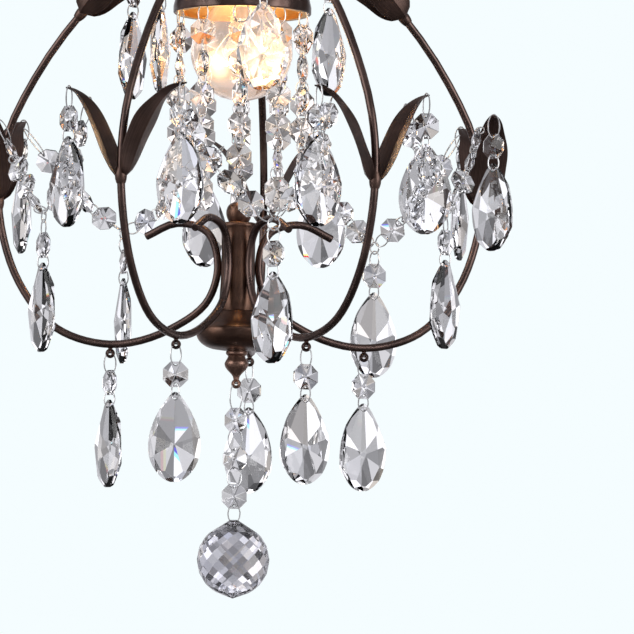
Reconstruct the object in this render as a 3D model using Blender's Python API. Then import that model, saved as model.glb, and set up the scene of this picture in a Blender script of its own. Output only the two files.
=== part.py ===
"""Mini chandelier: an open cage of five bent rods hung with lead-crystal strings round a shaded lamp.

Sizes are millimetres times MM. Heights count up from the lowest point of the arms' centre lines, and the
whole fixture is then lowered by HANG_HEIGHT, so that the origin is the point where the hanging loop is held.
Bearings are degrees from the front (-Y) towards the right (+X). A piece made for an arm is drawn on the
front of the fixture, outwards along -Y, and is then turned to the arm's bearing.
"""

import math

import bmesh
import bpy
from mathutils import Matrix, Vector

MM = 0.001
SEAT_GAP = 0.3
TURNED_STEPS = 16
SMOOTH_ANGLE = math.radians(35)

ARM_BEARINGS = (-26, 32, 104, 175, 256)
ROD_RADIUS = 2.2
ROD_SIDES = 8
ROD_BEND_PER_STEP = math.radians(14)
ARM_WAIST = (11.9, 46)
ARM_SCROLL_TOP = (36, 68.5)
ARM_FOOT_RADIUS = 74
ARM_REACH = 142
LOWER_LEAF_SEAT = (ARM_REACH, 82)
UPPER_LEAF_SEAT = (ARM_REACH - 47.6, 189.4)
HUB_RADIUS = 17.7
HUB_HEIGHT = 237.4
ARM_KNOTS = (
    (54.3, 61), ARM_SCROLL_TOP, (18.5, 63.5), ARM_WAIST, (16.8, 25.5), (39.2, 8.4), (ARM_FOOT_RADIUS, 0),
    (ARM_REACH - 36, 9.2), (ARM_REACH - 13.2, 35.3), (ARM_REACH - 3.6, 60), LOWER_LEAF_SEAT,
    (ARM_REACH - 0.2, 98), (ARM_REACH - 4.2, 118.2), (ARM_REACH - 20.2, 151.8), UPPER_LEAF_SEAT,
    (58.8, HUB_HEIGHT - 14.5), (HUB_RADIUS + 1.1, HUB_HEIGHT),
)

EYELET_RADIUS = 2.75
EYELET_NECK_RADIUS = 1.3
EYELET_HOLE_RADIUS = 1.1
EYELET_HEIGHT = -5.2
EYELET_SEGMENTS = 8

HUB_BOTTOM = HUB_HEIGHT - 15.1
HUB_TOP = HUB_HEIGHT + 18.6
LOOP_RADIUS = 9.5
LOOP_SEGMENTS = 16
LOOP_SIDES = 8
LOOP_WIRE_RADIUS = 2.5
LOOP_SHANK_RADIUS = 3.5
LOOP_RISE = 14
LOOP_HEIGHT = HUB_TOP + LOOP_RISE
HANG_HEIGHT = LOOP_HEIGHT + LOOP_RADIUS - LOOP_WIRE_RADIUS

SHADE_TOP = HUB_BOTTOM - SEAT_GAP
SHADE_DEPTH = 35
SHADE_RIM_HEIGHT = SHADE_TOP - SHADE_DEPTH
SHADE_RIM_RADIUS = 39
SHADE_WALL = 1.2
SHADE_LIP_WIDTH = 4.8
SHADE_CURVE = ((0.36, 0.023), (0.64, 0.143), (0.85, 0.371), (0.96, 0.686), (1, 0.886))
NIPPLE_RADIUS = 4.5
NIPPLE_LENGTH = 2.5
HOLDER_TOP = SHADE_TOP - NIPPLE_LENGTH
HOLDER_LENGTH = 20.5
HOLDER_BOTTOM = HOLDER_TOP - HOLDER_LENGTH
HOLDER_WALL = 3.4
HOLDER_FLOOR = 3
BULB_CAP_RADIUS = 13
BULB_CAP_GAP = 0.6
HOLDER_BORE_RADIUS = BULB_CAP_RADIUS + BULB_CAP_GAP
BULB_RADIUS = 28.8
BULB_NECK = 33
BULB_HEIGHT = HOLDER_BOTTOM - BULB_NECK
BULB_NECK_CURVE = ((0.57, 0.758), (0.8, 0.47), (0.944, 0.212))
BULB_END_CURVE = ((1, 0.05), (0.924, 0.382), (0.73, 0.688), (0.417, 0.903), (0, 1))

COLUMN_TOP = ARM_SCROLL_TOP[1] + 0.1
COLUMN_BOTTOM = 19
KNOB_RADIUS = 7.2
BOWL_RADIUS = 23
BOWL_DEPTH = 22.2
FINIAL_BALL_RADIUS = 2.7
FINIAL_BALL_DROP = 18.6

LEAF_THICKNESS = 0.9
LEAF_HALF_WIDTH = 9.3
LEAF_END_HALF_WIDTH = 1.1
LEAF_CREASE = 1.8
LEAF_PANELS = 7
LEAF_HOLE = 0.94
SLEEVE_LENGTH = 9
SLEEVE_WALL = 0.7
SLEEVE_GAP = 0.45
LOWER_LEAF_REACH = (37, 7, 49)
UPPER_LEAF_REACH = (23, 13.6, 42)
SWAG_LEAF_STATION = 0.68

WIRE_HALF = 0.45
RING_HALF_WIDTH = 3.4
OCTAGON_HALF = 7
OCTAGON_GIRDLE = 0.9
OCTAGON_BELLY = 2.8
PENDANT_OCTAGON = 16.5
DROP_TOP = 26
DROP_LENGTH = 50
DROP_HALF_WIDTH = 14.5
DROP_HALF_DEPTH = 4.8
DROP_STATIONS = 9
DROP_SHAPE = 1.35
DROP_ROUNDNESS = 0.52

EYELET_FACINGS = (4, 23, 28, -20, -60)
LOWER_LEAF_FACINGS = ((-50, -30), (42, 0), (-43, 60), (10, 30), (-70, -110))
UPPER_LEAF_FACINGS = {(1, "left"): 75, (2, "left"): 0, (2, "right"): 53, (5, "right"): 63}
SWAG_FACINGS = (-42, 57, 23, -75, -60)

SWAG_BEADS_PER_LEG = 4
SWAG_PITCH = 16.4
SWAG_LOW_GAP = 9
SWAG_SAG = 5
LOW_LINK_HALF = 1.2
SWAG_LEGS = ((89.5, 74.5), (85, 74), (86, 83), (88, 88), (88, 88))

CURTAIN_COUNT = 10
CURTAIN_RADIUS = SHADE_RIM_RADIUS - 2.6
CURTAIN_PITCH = 17.6
CURTAIN_FIRST = 14
CURTAIN_CLEARANCE = 5

CENTRE_BEADS = (20.5, 42.3, 63.3)
CENTRE_LINK_INSET = 1
BALL_DROP = 76.6
BALL_RADIUS = 20.4
BALL_TIP_RISE = 2.1
BALL_SEGMENTS = 10
BALL_TIP_RADIUS = 2.5
BALL_ROW_ANGLES = (28, 52, 77, 103, 128, 153)

UP = Vector((0, 0, 1))
RIGHT = Vector((1, 0, 0))
INWARD = Vector((0, 1, 0))


def finish(name, colour, roughness, metallic, transmission=0.0):
    made = bpy.data.materials.new(name)
    made.use_nodes = True
    shader = made.node_tree.nodes["Principled BSDF"]
    shader.inputs["Base Color"].default_value = (*colour, 1)
    shader.inputs["Roughness"].default_value = roughness
    shader.inputs["Metallic"].default_value = metallic
    shader.inputs["Transmission Weight"].default_value = transmission
    return made


def mesh_from(name, bm, look, smooth=True):
    bmesh.ops.remove_doubles(bm, verts=bm.verts, dist=1e-6)
    bmesh.ops.recalc_face_normals(bm, faces=bm.faces)
    mesh = bpy.data.meshes.new(name)
    bm.to_mesh(mesh)
    bm.free()
    mesh.materials.append(look)
    if smooth:
        mesh.shade_smooth()
        mesh.set_sharp_from_angle(angle=SMOOTH_ANGLE)
    return mesh


def place(name, mesh, pivot=Vector(), bearing=0.0):
    """Puts a mesh in the fixture with its origin at pivot, turned about the vertical."""
    piece = bpy.data.objects.new(name, mesh)
    piece.location = (Vector(pivot) - HANG_HEIGHT * UP) * MM
    piece.rotation_euler.z = math.radians(bearing)
    bpy.context.scene.collection.objects.link(piece)
    return piece


def turn_to(point, bearing):
    return Matrix.Rotation(math.radians(bearing), 3, "Z") @ Vector(point)


def revolve(bm, profile, closed=False, centre=Vector(), steps=TURNED_STEPS):
    """Turns a (radius, height) profile about a vertical axis through centre."""
    points = [bm.verts.new((Vector((r, 0, z)) + centre) * MM) for r, z in profile]
    ends = points[1:] + points[:1] if closed else points[1:]
    edges = [bm.edges.new(pair) for pair in zip(points, ends)]
    bmesh.ops.spin(
        bm, geom=points + edges, cent=centre * MM, axis=UP, angle=math.tau, steps=steps, use_merge=True
    )
    bmesh.ops.remove_doubles(bm, verts=bm.verts, dist=1e-6)


def turned(name, profile, look, closed=False):
    bm = bmesh.new()
    revolve(bm, profile, closed)
    return place(name, mesh_from(name, bm, look))


def combine(piece, other, operation):
    """Joins another solid to a piece, or cuts it away, and drops the other."""
    change = piece.modifiers.new(operation.title(), "BOOLEAN")
    change.operation = operation
    change.solver = "EXACT"
    change.object = other
    bpy.context.view_layer.update()
    shape = bpy.data.meshes.new_from_object(piece.evaluated_get(bpy.context.evaluated_depsgraph_get()))
    piece.modifiers.remove(change)
    piece.data = shape
    bpy.data.objects.remove(other)


def smooth_path(knots, bend_per_step):
    """Points on a curve through the knots, with each knot's slope weighed by the lengths on its two sides."""
    spans = [(b - a).length for a, b in zip(knots, knots[1:])]
    chords = [(b - a) / d for a, b, d in zip(knots, knots[1:], spans)]
    slopes = [chords[0]]
    for i in range(1, len(knots) - 1):
        slopes.append((chords[i - 1] * spans[i] + chords[i] * spans[i - 1]) / (spans[i - 1] + spans[i]))
    slopes.append(chords[-1])
    path = []
    for i, d in enumerate(spans):
        steps = math.ceil(slopes[i].angle(slopes[i + 1]) / bend_per_step)
        for k in range(steps):
            t = k / steps
            back = (1 - t) ** 2
            ahead = t**2
            path.append(
                knots[i] * back * (1 + 2 * t) + slopes[i] * d * t * back
                + knots[i + 1] * ahead * (3 - 2 * t) - slopes[i + 1] * d * (1 - t) * ahead
            )
    return path + [knots[-1]], slopes


def sweep(bm, path, radius, sides):
    """A round rod along a path in the plane square to X."""
    rings = []
    for i, point in enumerate(path):
        along = (path[min(i + 1, len(path) - 1)] - path[max(i - 1, 0)]).normalized()
        across = along.cross(RIGHT)
        ring = []
        for k in range(sides):
            angle = math.tau * (k + 0.5) / sides
            spoke = math.cos(angle) * RIGHT + math.sin(angle) * across
            ring.append(bm.verts.new((point + radius * spoke) * MM))
        rings.append(ring)
    for a, b in zip(rings, rings[1:]):
        for k in range(sides):
            bm.faces.new((a[k - 1], a[k], b[k], b[k - 1]))
    bm.faces.new(rings[0])
    bm.faces.new(rings[-1])


def loft(bm, stations):
    """A faceted solid through stations of four corners each."""
    rings = [[bm.verts.new(corner * MM) for corner in station] for station in stations]
    for a, b in zip(rings, rings[1:]):
        for k in range(4):
            bm.faces.new((a[k - 1], a[k], b[k], b[k - 1]))
    bm.faces.new(rings[0])
    bm.faces.new(rings[-1])


def diamond(centre, across, through):
    return (centre + across, centre + through, centre - across, centre - through)


def octagon(centre):
    """(distance, half width, half depth) down one octagon bead."""
    corner = OCTAGON_HALF * math.tan(math.pi / 8)
    return [
        (centre - OCTAGON_HALF, corner, OCTAGON_GIRDLE),
        (centre - corner, OCTAGON_HALF, OCTAGON_BELLY),
        (centre + corner, OCTAGON_HALF, OCTAGON_BELLY),
        (centre + OCTAGON_HALF, corner, OCTAGON_GIRDLE),
    ]


def ring_link(top, bottom):
    """A wire ring seen as its flat outline."""
    return [(top, WIRE_HALF, WIRE_HALF), ((top + bottom) / 2, RING_HALF_WIDTH, WIRE_HALF)]


def narrow(distance):
    return [(distance, WIRE_HALF, WIRE_HALF)]


def pear_drop(top):
    """(distance, half width, half depth) down one pear-shaped drop."""
    rows = []
    for i in range(DROP_STATIONS):
        u = 0.03 + 0.955 * i / (DROP_STATIONS - 1)
        swell = math.sin(math.pi * u**DROP_SHAPE) ** DROP_ROUNDNESS
        rows.append((top + DROP_LENGTH * u, DROP_HALF_WIDTH * swell, DROP_HALF_DEPTH * swell**DROP_ROUNDNESS))
    return rows


def hang(rows, start=Vector(), down=-UP, across=RIGHT, through=INWARD):
    return [diamond(start + down * d, across * w, through * t) for d, w, t in rows]


def pendant_rows(first):
    """Ring, octagon, ring and drop, counted down from the point they hang on."""
    rows = ring_link(first, PENDANT_OCTAGON - OCTAGON_HALF) + octagon(PENDANT_OCTAGON)
    return rows + narrow(DROP_TOP - 1) + pear_drop(DROP_TOP)


def string_mesh(name, rows):
    bm = bmesh.new()
    loft(bm, hang(rows))
    return mesh_from(name, bm, crystal, smooth=False)


for old in list(bpy.data.objects):
    bpy.data.objects.remove(old)

bronze = finish("oil_rubbed_bronze", (0.05, 0.03, 0.022), 0.42, 1.0)
column_bronze = finish("burnished_bronze", (0.09, 0.045, 0.025), 0.36, 1.0)
moulding = finish("lamp_holder", (0.5, 0.42, 0.3), 0.5, 0.0)
bulb_glass = finish("bulb_glass", (1.0, 0.97, 0.92), 0.03, 0.0, 1.0)
crystal = finish("lead_crystal", (0.95, 0.97, 1.0), 0.02, 0.0, 1.0)

# The hanging loop is a forged eye on a short shank that screws into the hub.
bm = bmesh.new()
eye = [
    Vector((0, LOOP_RADIUS * math.sin(a), LOOP_HEIGHT - LOOP_RADIUS * math.cos(a)))
    for a in (math.tau * k / LOOP_SEGMENTS for k in range(LOOP_SEGMENTS))
]
rings = []
for point in eye:
    outward = (point - LOOP_HEIGHT * UP).normalized()
    ring = []
    for k in range(LOOP_SIDES):
        a = math.tau * k / LOOP_SIDES
        spoke = math.cos(a) * outward + math.sin(a) * RIGHT
        ring.append(bm.verts.new((point + LOOP_WIRE_RADIUS * spoke) * MM))
    rings.append(ring)
for a, b in zip(rings, rings[1:] + rings[:1]):
    for k in range(LOOP_SIDES):
        bm.faces.new((a[k - 1], a[k], b[k], b[k - 1]))
hanging_loop = place("hanging_loop", mesh_from("hanging_loop", bm, bronze))
shank_top = LOOP_HEIGHT - LOOP_RADIUS
shank_seat = HUB_TOP + SEAT_GAP
shank = turned("shank", (
    (0, shank_top), (LOOP_SHANK_RADIUS, shank_top), (LOOP_SHANK_RADIUS, shank_seat), (0, shank_seat),
), bronze)
combine(hanging_loop, shank, "UNION")

# The hub is one turned piece, and the five arms are brazed to its rim.
turned("top_hub", (
    (0, HUB_TOP), (5.5, HUB_TOP), (6.5, HUB_TOP - 2.5), (8, HUB_TOP - 7), (13, HUB_HEIGHT + 8.6),
    (HUB_RADIUS - 1, HUB_HEIGHT + 6.6), (HUB_RADIUS, HUB_HEIGHT + 5.1), (HUB_RADIUS, HUB_HEIGHT - 4.4),
    (HUB_RADIUS - 1.5, HUB_HEIGHT - 5.9), (10, HUB_HEIGHT - 8.4), (8, HUB_HEIGHT - 11.4),
    (9, HUB_BOTTOM + 1.5), (9, HUB_BOTTOM), (0, HUB_BOTTOM),
), bronze)

# The shade is a spun cup with a lip turned in at its rim, where the curtain hangs.
nipple_hole = NIPPLE_RADIUS + SEAT_GAP
outside = [(SHADE_RIM_RADIUS * r, SHADE_TOP - SHADE_DEPTH * d) for r, d in SHADE_CURVE]
inner_radius = SHADE_RIM_RADIUS - SHADE_WALL
inner_top = SHADE_TOP - SHADE_WALL
inside = [(inner_radius * r, inner_top - (SHADE_DEPTH - SHADE_WALL) * d) for r, d in reversed(SHADE_CURVE)]
lip_radius = SHADE_RIM_RADIUS - SHADE_LIP_WIDTH
lip_top = SHADE_RIM_HEIGHT + SHADE_WALL
turned("shade_cup", [
    (nipple_hole, SHADE_TOP), *outside, (SHADE_RIM_RADIUS, SHADE_RIM_HEIGHT), (lip_radius, SHADE_RIM_HEIGHT),
    (lip_radius, lip_top), (inner_radius, lip_top), *inside, (nipple_hole, inner_top),
], bronze, closed=True)

# One lamp holder hangs on a nipple through the top of the shade, and one pear-shaped lamp screws into it.
holder_radius = HOLDER_BORE_RADIUS + HOLDER_WALL
holder_floor = HOLDER_TOP - HOLDER_FLOOR
turned("lamp_holder", (
    (0, SHADE_TOP), (NIPPLE_RADIUS, SHADE_TOP), (NIPPLE_RADIUS, HOLDER_TOP),
    (holder_radius - 3, HOLDER_TOP - 1.5), (holder_radius, HOLDER_TOP - 5), (holder_radius, HOLDER_BOTTOM),
    (HOLDER_BORE_RADIUS, HOLDER_BOTTOM), (HOLDER_BORE_RADIUS, holder_floor), (0, holder_floor),
), moulding)
cap_top = holder_floor - SEAT_GAP
neck = [(BULB_RADIUS * r, BULB_HEIGHT + BULB_NECK * h) for r, h in BULB_NECK_CURVE]
globe = [(BULB_RADIUS * r, BULB_HEIGHT - BULB_RADIUS * d) for r, d in BULB_END_CURVE]
turned("bulb", [
    (0, cap_top), (4, cap_top), (BULB_CAP_RADIUS, cap_top - 4), (BULB_CAP_RADIUS, HOLDER_BOTTOM - 2),
    *neck, *globe,
], bulb_glass)

# The column, its knob, the bowl and the finial are turned pieces screwed end to end.
waist_radius = ARM_WAIST[0] - ROD_RADIUS - SEAT_GAP
waist_height = ARM_WAIST[1]
turned("column", (
    (0, COLUMN_TOP), (waist_radius - 1, COLUMN_TOP), (waist_radius + 0.8, COLUMN_TOP - 1),
    (waist_radius + 0.8, COLUMN_TOP - 2.4), (waist_radius + 0.3, COLUMN_TOP - 3.8),
    (waist_radius + 0.1, waist_height + 10), (waist_radius, waist_height),
    (waist_radius + 0.3, waist_height - 12), (waist_radius + 1.2, COLUMN_BOTTOM + 2.5),
    (waist_radius + 0.8, COLUMN_BOTTOM), (0, COLUMN_BOTTOM),
), column_bronze)
knob_bottom = COLUMN_TOP + SEAT_GAP
turned("column_knob", (
    (0, knob_bottom + 11.7), (KNOB_RADIUS - 3.8, knob_bottom + 11.1),
    (KNOB_RADIUS - 1.2, knob_bottom + 9.3), (KNOB_RADIUS, knob_bottom + 5.9),
    (KNOB_RADIUS - 0.6, knob_bottom + 2.1), (KNOB_RADIUS - 1.6, knob_bottom), (0, knob_bottom),
), column_bronze)
bowl_top = COLUMN_BOTTOM - SEAT_GAP
bowl_bottom = bowl_top - BOWL_DEPTH
turned("bowl_cup", (
    (0, bowl_top), (BOWL_RADIUS - 12.2, bowl_top), (BOWL_RADIUS - 11.7, bowl_top - 2.2),
    (BOWL_RADIUS - 9.4, bowl_top - 5.7), (BOWL_RADIUS - 5, bowl_top - 8.3),
    (BOWL_RADIUS - 1.2, bowl_top - 9.3), (BOWL_RADIUS, bowl_bottom + 9.9),
    (BOWL_RADIUS - 0.8, bowl_bottom + 6.5), (BOWL_RADIUS - 4, bowl_bottom + 2.9),
    (BOWL_RADIUS - 9, bowl_bottom + 0.7), (BOWL_RADIUS - 14, bowl_bottom), (0, bowl_bottom),
), column_bronze)
finial_top = bowl_bottom - SEAT_GAP
finial_ball = finial_top - FINIAL_BALL_DROP
turned("finial", (
    (0, finial_top), (6, finial_top), (5.9, finial_top - 2), (4.8, finial_top - 3), (5.2, finial_top - 4.2),
    (6.7, finial_top - 7), (6.2, finial_top - 9.4), (3.6, finial_top - 12.4), (2, finial_ball + 4.2),
    (1.6, finial_ball + 2.6), (2.4, finial_ball + 1.5), (FINIAL_BALL_RADIUS, finial_ball),
    (2, finial_ball - 1.9), (0, finial_ball - FINIAL_BALL_RADIUS),
), column_bronze)

# Each arm is one rod: a scroll beside the column, a sweep under the cage and a long rise to the hub.
# A drilled bead is brazed under the lowest point.
arm_knots = [Vector((0, -r, z)) for r, z in ARM_KNOTS]
arm_path, arm_slopes = smooth_path(arm_knots, ROD_BEND_PER_STEP)
bm = bmesh.new()
sweep(bm, arm_path, ROD_RADIUS, ROD_SIDES)
arm = place("arm_1", mesh_from("arm", bm, bronze))
eyelet_centre = Vector((0, -ARM_FOOT_RADIUS, EYELET_HEIGHT))
bm = bmesh.new()
bead = []
for a in (0, 0.8, 1.6, 2.4):
    bead.append((EYELET_RADIUS * math.sin(a), EYELET_HEIGHT - EYELET_RADIUS * math.cos(a)))
neck = [(EYELET_NECK_RADIUS, EYELET_HEIGHT + EYELET_RADIUS - 0.3), (EYELET_NECK_RADIUS, 0), (0, 0)]
revolve(bm, bead + neck, centre=Vector((0, -ARM_FOOT_RADIUS, 0)), steps=EYELET_SEGMENTS)
eyelet = place("eyelet", mesh_from("eyelet", bm, bronze))
bm = bmesh.new()
drill = Matrix.Translation(eyelet_centre * MM) @ Matrix.Rotation(math.pi / 2, 4, "X")
bmesh.ops.create_cone(
    bm, cap_ends=True, segments=8, radius1=EYELET_HOLE_RADIUS * MM, radius2=EYELET_HOLE_RADIUS * MM,
    depth=4 * EYELET_RADIUS * MM, matrix=drill,
)
combine(eyelet, place("drill", mesh_from("drill", bm, bronze)), "DIFFERENCE")
combine(arm, eyelet, "UNION")
arm.rotation_euler.z = math.radians(ARM_BEARINGS[0])
for n, bearing in enumerate(ARM_BEARINGS[1:], 2):
    place(f"arm_{n}", arm.data, bearing=bearing)


# A pair of leaves is one stamping: a sleeve closed round the rod, and two creased blades that bend away
# to the sides.
def leaf_at(s, side, reach):
    """Blade centre, half width, outward normal and crease at s, from 0 at the sleeve to 1 at the tip."""
    spread, inward, rise = reach
    root = ROD_RADIUS + SLEEVE_GAP + SLEEVE_WALL / 2
    turn = math.pi / 2 * s
    centre = Vector((side * (root + (spread - root) * s**1.25), inward * s**2, rise * math.sin(turn)))
    along = Vector((side * 1.25 * spread * max(s, 0.05) ** 0.25, 0, rise * math.pi / 2 * math.cos(turn)))
    swell = math.sin(math.pi * s**0.8)
    half_width = LEAF_END_HALF_WIDTH + (LEAF_HALF_WIDTH - LEAF_END_HALF_WIDTH) * swell
    normal = INWARD.cross(along.normalized()) * side
    return centre, half_width, normal, centre + normal * LEAF_CREASE * half_width / LEAF_HALF_WIDTH


def leaf_station(panel):
    """Evenly spaced stations up to the hole for the pendant's ring, then the tip."""
    return LEAF_HOLE * panel / (LEAF_PANELS - 1) if panel < LEAF_PANELS else 1


def rod_lean(knot):
    return Matrix.Rotation(-math.atan2(arm_slopes[knot].y, arm_slopes[knot].z), 3, "X")


def leaf_pair(name, reach, lean):
    sleeve_radius = ROD_RADIUS + SLEEVE_GAP
    bm = bmesh.new()
    half = SLEEVE_LENGTH / 2
    revolve(bm, (
        (sleeve_radius + SLEEVE_WALL, half), (sleeve_radius + SLEEVE_WALL, -half), (sleeve_radius, -half),
        (sleeve_radius, half),
    ), True, steps=10)
    pair = bpy.data.objects.new(name, mesh_from(name, bm, bronze))
    bpy.context.scene.collection.objects.link(pair)
    for side in (-1, 1):
        stations = []
        for panel in range(LEAF_PANELS + 1):
            centre, half_width, normal, crease = leaf_at(leaf_station(panel), side, reach)
            skin = normal * LEAF_THICKNESS / 2
            edge = half_width * INWARD
            stations.append((centre + edge, crease + skin, centre - edge, crease - skin))
        bm = bmesh.new()
        loft(bm, stations)
        blade = bpy.data.objects.new("blade", mesh_from("blade", bm, bronze))
        bpy.context.scene.collection.objects.link(blade)
        combine(pair, blade, "UNION")
    shape = pair.data
    shape.transform(lean.to_4x4())
    bpy.data.objects.remove(pair)
    return shape


lower_knot = ARM_KNOTS.index(LOWER_LEAF_SEAT)
upper_knot = ARM_KNOTS.index(UPPER_LEAF_SEAT)
lower_seat = arm_knots[lower_knot]
upper_seat = arm_knots[upper_knot]
lower_lean = rod_lean(lower_knot)
upper_lean = rod_lean(upper_knot)
lower_shape = leaf_pair("lower_leaves", LOWER_LEAF_REACH, lower_lean)
upper_shape = leaf_pair("upper_leaves", UPPER_LEAF_REACH, upper_lean)
for n, bearing in enumerate(ARM_BEARINGS, 1):
    place(f"lower_leaves_{n}", lower_shape, turn_to(lower_seat, bearing), bearing)
    place(f"upper_leaves_{n}", upper_shape, turn_to(upper_seat, bearing), bearing)

# Strings of crystal: octagon beads and pear drops on wire rings, each string one swinging piece.
eyelet_string = string_mesh("eyelet_pendant", pendant_rows(EYELET_RADIUS + SEAT_GAP))
leaf_string = string_mesh("leaf_pendant", pendant_rows(LEAF_THICKNESS / 2 + SEAT_GAP))
for n, bearing in enumerate(ARM_BEARINGS, 1):
    place(f"eyelet_pendant_{n}", eyelet_string, turn_to(eyelet_centre, bearing), EYELET_FACINGS[n - 1])
    for k, side in enumerate(("left", "right")):
        hole = leaf_at(LEAF_HOLE, 2 * k - 1, LOWER_LEAF_REACH)[3]
        pivot = turn_to(lower_seat + lower_lean @ hole, bearing)
        place(f"leaf_pendant_{n}_{side}", leaf_string, pivot, LOWER_LEAF_FACINGS[n - 1][k])
        if (n, side) in UPPER_LEAF_FACINGS:
            hole = leaf_at(LEAF_HOLE, 2 * k - 1, UPPER_LEAF_REACH)[3]
            pivot = turn_to(upper_seat + upper_lean @ hole, bearing)
            place(f"upper_pendant_{n}_{side}", leaf_string, pivot, UPPER_LEAF_FACINGS[n, side])

# The curtain hangs under the lip of the shade, as many beads long as the scrolls below leave room for.
curtain_rows = ring_link(SEAT_GAP, CURTAIN_FIRST - OCTAGON_HALF)
curtain_floor = ARM_SCROLL_TOP[1] + ROD_RADIUS + CURTAIN_CLEARANCE
curtain_room = SHADE_RIM_HEIGHT - CURTAIN_FIRST - OCTAGON_HALF - curtain_floor
curtain_beads = 1 + math.floor(curtain_room / CURTAIN_PITCH)
for i in range(curtain_beads):
    curtain_rows += octagon(CURTAIN_FIRST + CURTAIN_PITCH * i)
    if i < curtain_beads - 1:
        curtain_rows += narrow(CURTAIN_FIRST + CURTAIN_PITCH * (i + 0.5))
curtain_string = string_mesh("curtain_strand", curtain_rows)
for i in range(CURTAIN_COUNT):
    bearing = 360 / CURTAIN_COUNT * i
    pivot = turn_to(-CURTAIN_RADIUS * INWARD, bearing) + SHADE_RIM_HEIGHT * UP
    place(f"curtain_strand_{i + 1}", curtain_string, pivot, bearing)

# The centre string hangs from the finial's drilled ball and carries the large faceted ball.
centre_rows = []
link_top = FINIAL_BALL_RADIUS + SEAT_GAP
for bead in CENTRE_BEADS:
    centre_rows += ring_link(link_top, bead - OCTAGON_HALF) + octagon(bead)
    link_top = bead + OCTAGON_HALF + CENTRE_LINK_INSET
centre_rows += narrow(BALL_DROP - SEAT_GAP)
place("centre_strand", string_mesh("centre_strand", centre_rows), finial_ball * UP)

bm = bmesh.new()
ball_middle = -BALL_RADIUS - BALL_TIP_RISE
rows = [(BALL_TIP_RADIUS, 0)]
for a in BALL_ROW_ANGLES:
    tilt = math.radians(a)
    rows.append((BALL_RADIUS * math.sin(tilt), ball_middle + BALL_RADIUS * math.cos(tilt)))
rows.append((BALL_TIP_RADIUS, ball_middle - BALL_RADIUS - 1.5))
rings = []
for i, (radius, height) in enumerate(rows):
    ring = []
    for k in range(BALL_SEGMENTS):
        a = math.tau * (k + i % 2 / 2) / BALL_SEGMENTS
        ring.append(bm.verts.new(Vector((radius * math.sin(a), radius * math.cos(a), height)) * MM))
    rings.append(ring)
for i, (a, b) in enumerate(zip(rings, rings[1:])):
    for k in range(BALL_SEGMENTS):
        after = (k + 1) % BALL_SEGMENTS
        if i % 2:
            bm.faces.new((a[k], b[after], a[after]))
            bm.faces.new((a[k], b[k], b[after]))
        else:
            bm.faces.new((a[k], b[k], a[after]))
            bm.faces.new((a[after], b[k], b[after]))
bm.faces.new(rings[0])
bm.faces.new(rings[-1])
place("crystal_ball", mesh_from("crystal_ball", bm, crystal, smooth=False), (finial_ball - BALL_DROP) * UP)

# Each swag joins the facing leaves of two neighbouring arms, with a drop at its low point.
def leaf_anchor(bearing, side):
    centre, half_width = leaf_at(SWAG_LEAF_STATION, side, LOWER_LEAF_REACH)[:2]
    edge = centre + (half_width + SEAT_GAP + WIRE_HALF) * INWARD
    return turn_to(lower_seat + lower_lean @ edge, bearing)


for n, bearing in enumerate(ARM_BEARINGS):
    after = (n + 1) % len(ARM_BEARINGS)
    start = leaf_anchor(bearing, 1)
    end = leaf_anchor(ARM_BEARINGS[after], -1)
    chord = end - start
    level = chord.normalized()
    legs = SWAG_LEGS[n]
    reach = (legs[0] ** 2 - legs[1] ** 2 + chord.length**2) / (2 * chord.length)
    low = start + level * reach - UP * math.sqrt(legs[0] ** 2 - reach**2)
    across_swag = level.cross(UP)
    stations = []
    for first, last, length, towards_low in ((start, low, legs[0], True), (low, end, legs[1], False)):
        way = (last - first) / (last - first).length
        nearest = SWAG_LOW_GAP + OCTAGON_HALF
        begin = length - nearest - SWAG_PITCH * (SWAG_BEADS_PER_LEG - 1) if towards_low else nearest
        sag = way.cross(across_swag)
        sag *= -SWAG_SAG if sag.z > 0 else SWAG_SAG
        rows = narrow(0) if towards_low else []
        for i in range(SWAG_BEADS_PER_LEG):
            rows += octagon(begin + SWAG_PITCH * i)
            if i < SWAG_BEADS_PER_LEG - 1:
                rows += narrow(begin + SWAG_PITCH * (i + 0.5))
        rows += [] if towards_low else narrow(length)
        for d, w, t in rows:
            t_along = d / length
            centre = first + way * d + sag * 4 * t_along * (1 - t_along)
            stations.append(diamond(centre, way.cross(across_swag) * w, across_swag * t))
        if towards_low:
            stations.append(diamond(low, level.cross(across_swag) * LOW_LINK_HALF, across_swag * WIRE_HALF))
    bm = bmesh.new()
    loft(bm, stations)
    name = f"swag_{n + 1}_{after + 1}"
    bm.verts.ensure_lookup_table()
    for vert in bm.verts:
        vert.co -= start * MM
    swag = place(name, mesh_from(name, bm, crystal, smooth=False), start)
    facing = Matrix.Rotation(math.radians(SWAG_FACINGS[n]), 3, "Z")
    bm = bmesh.new()
    rows = pendant_rows(-LOW_LINK_HALF)
    loft(bm, hang(rows, low - start, -UP, facing @ RIGHT, facing @ INWARD))
    combine(swag, place("low_pendant", mesh_from("low_pendant", bm, crystal, smooth=False), start), "UNION")
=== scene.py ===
"""Looks of a mini chandelier: five bronze rods hung with cut crystal round a shaded lamp.

Lengths are millimetres, and metres in the materials and the studio. Heights count up from the lowest point of
the arms, and HANG lowers them all, so that the loop's bearing point is the origin. Bearings are degrees from
the front (-Y) towards the right (+X).
"""

import math

import bmesh
import bpy
from mathutils import Matrix, Vector


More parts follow.
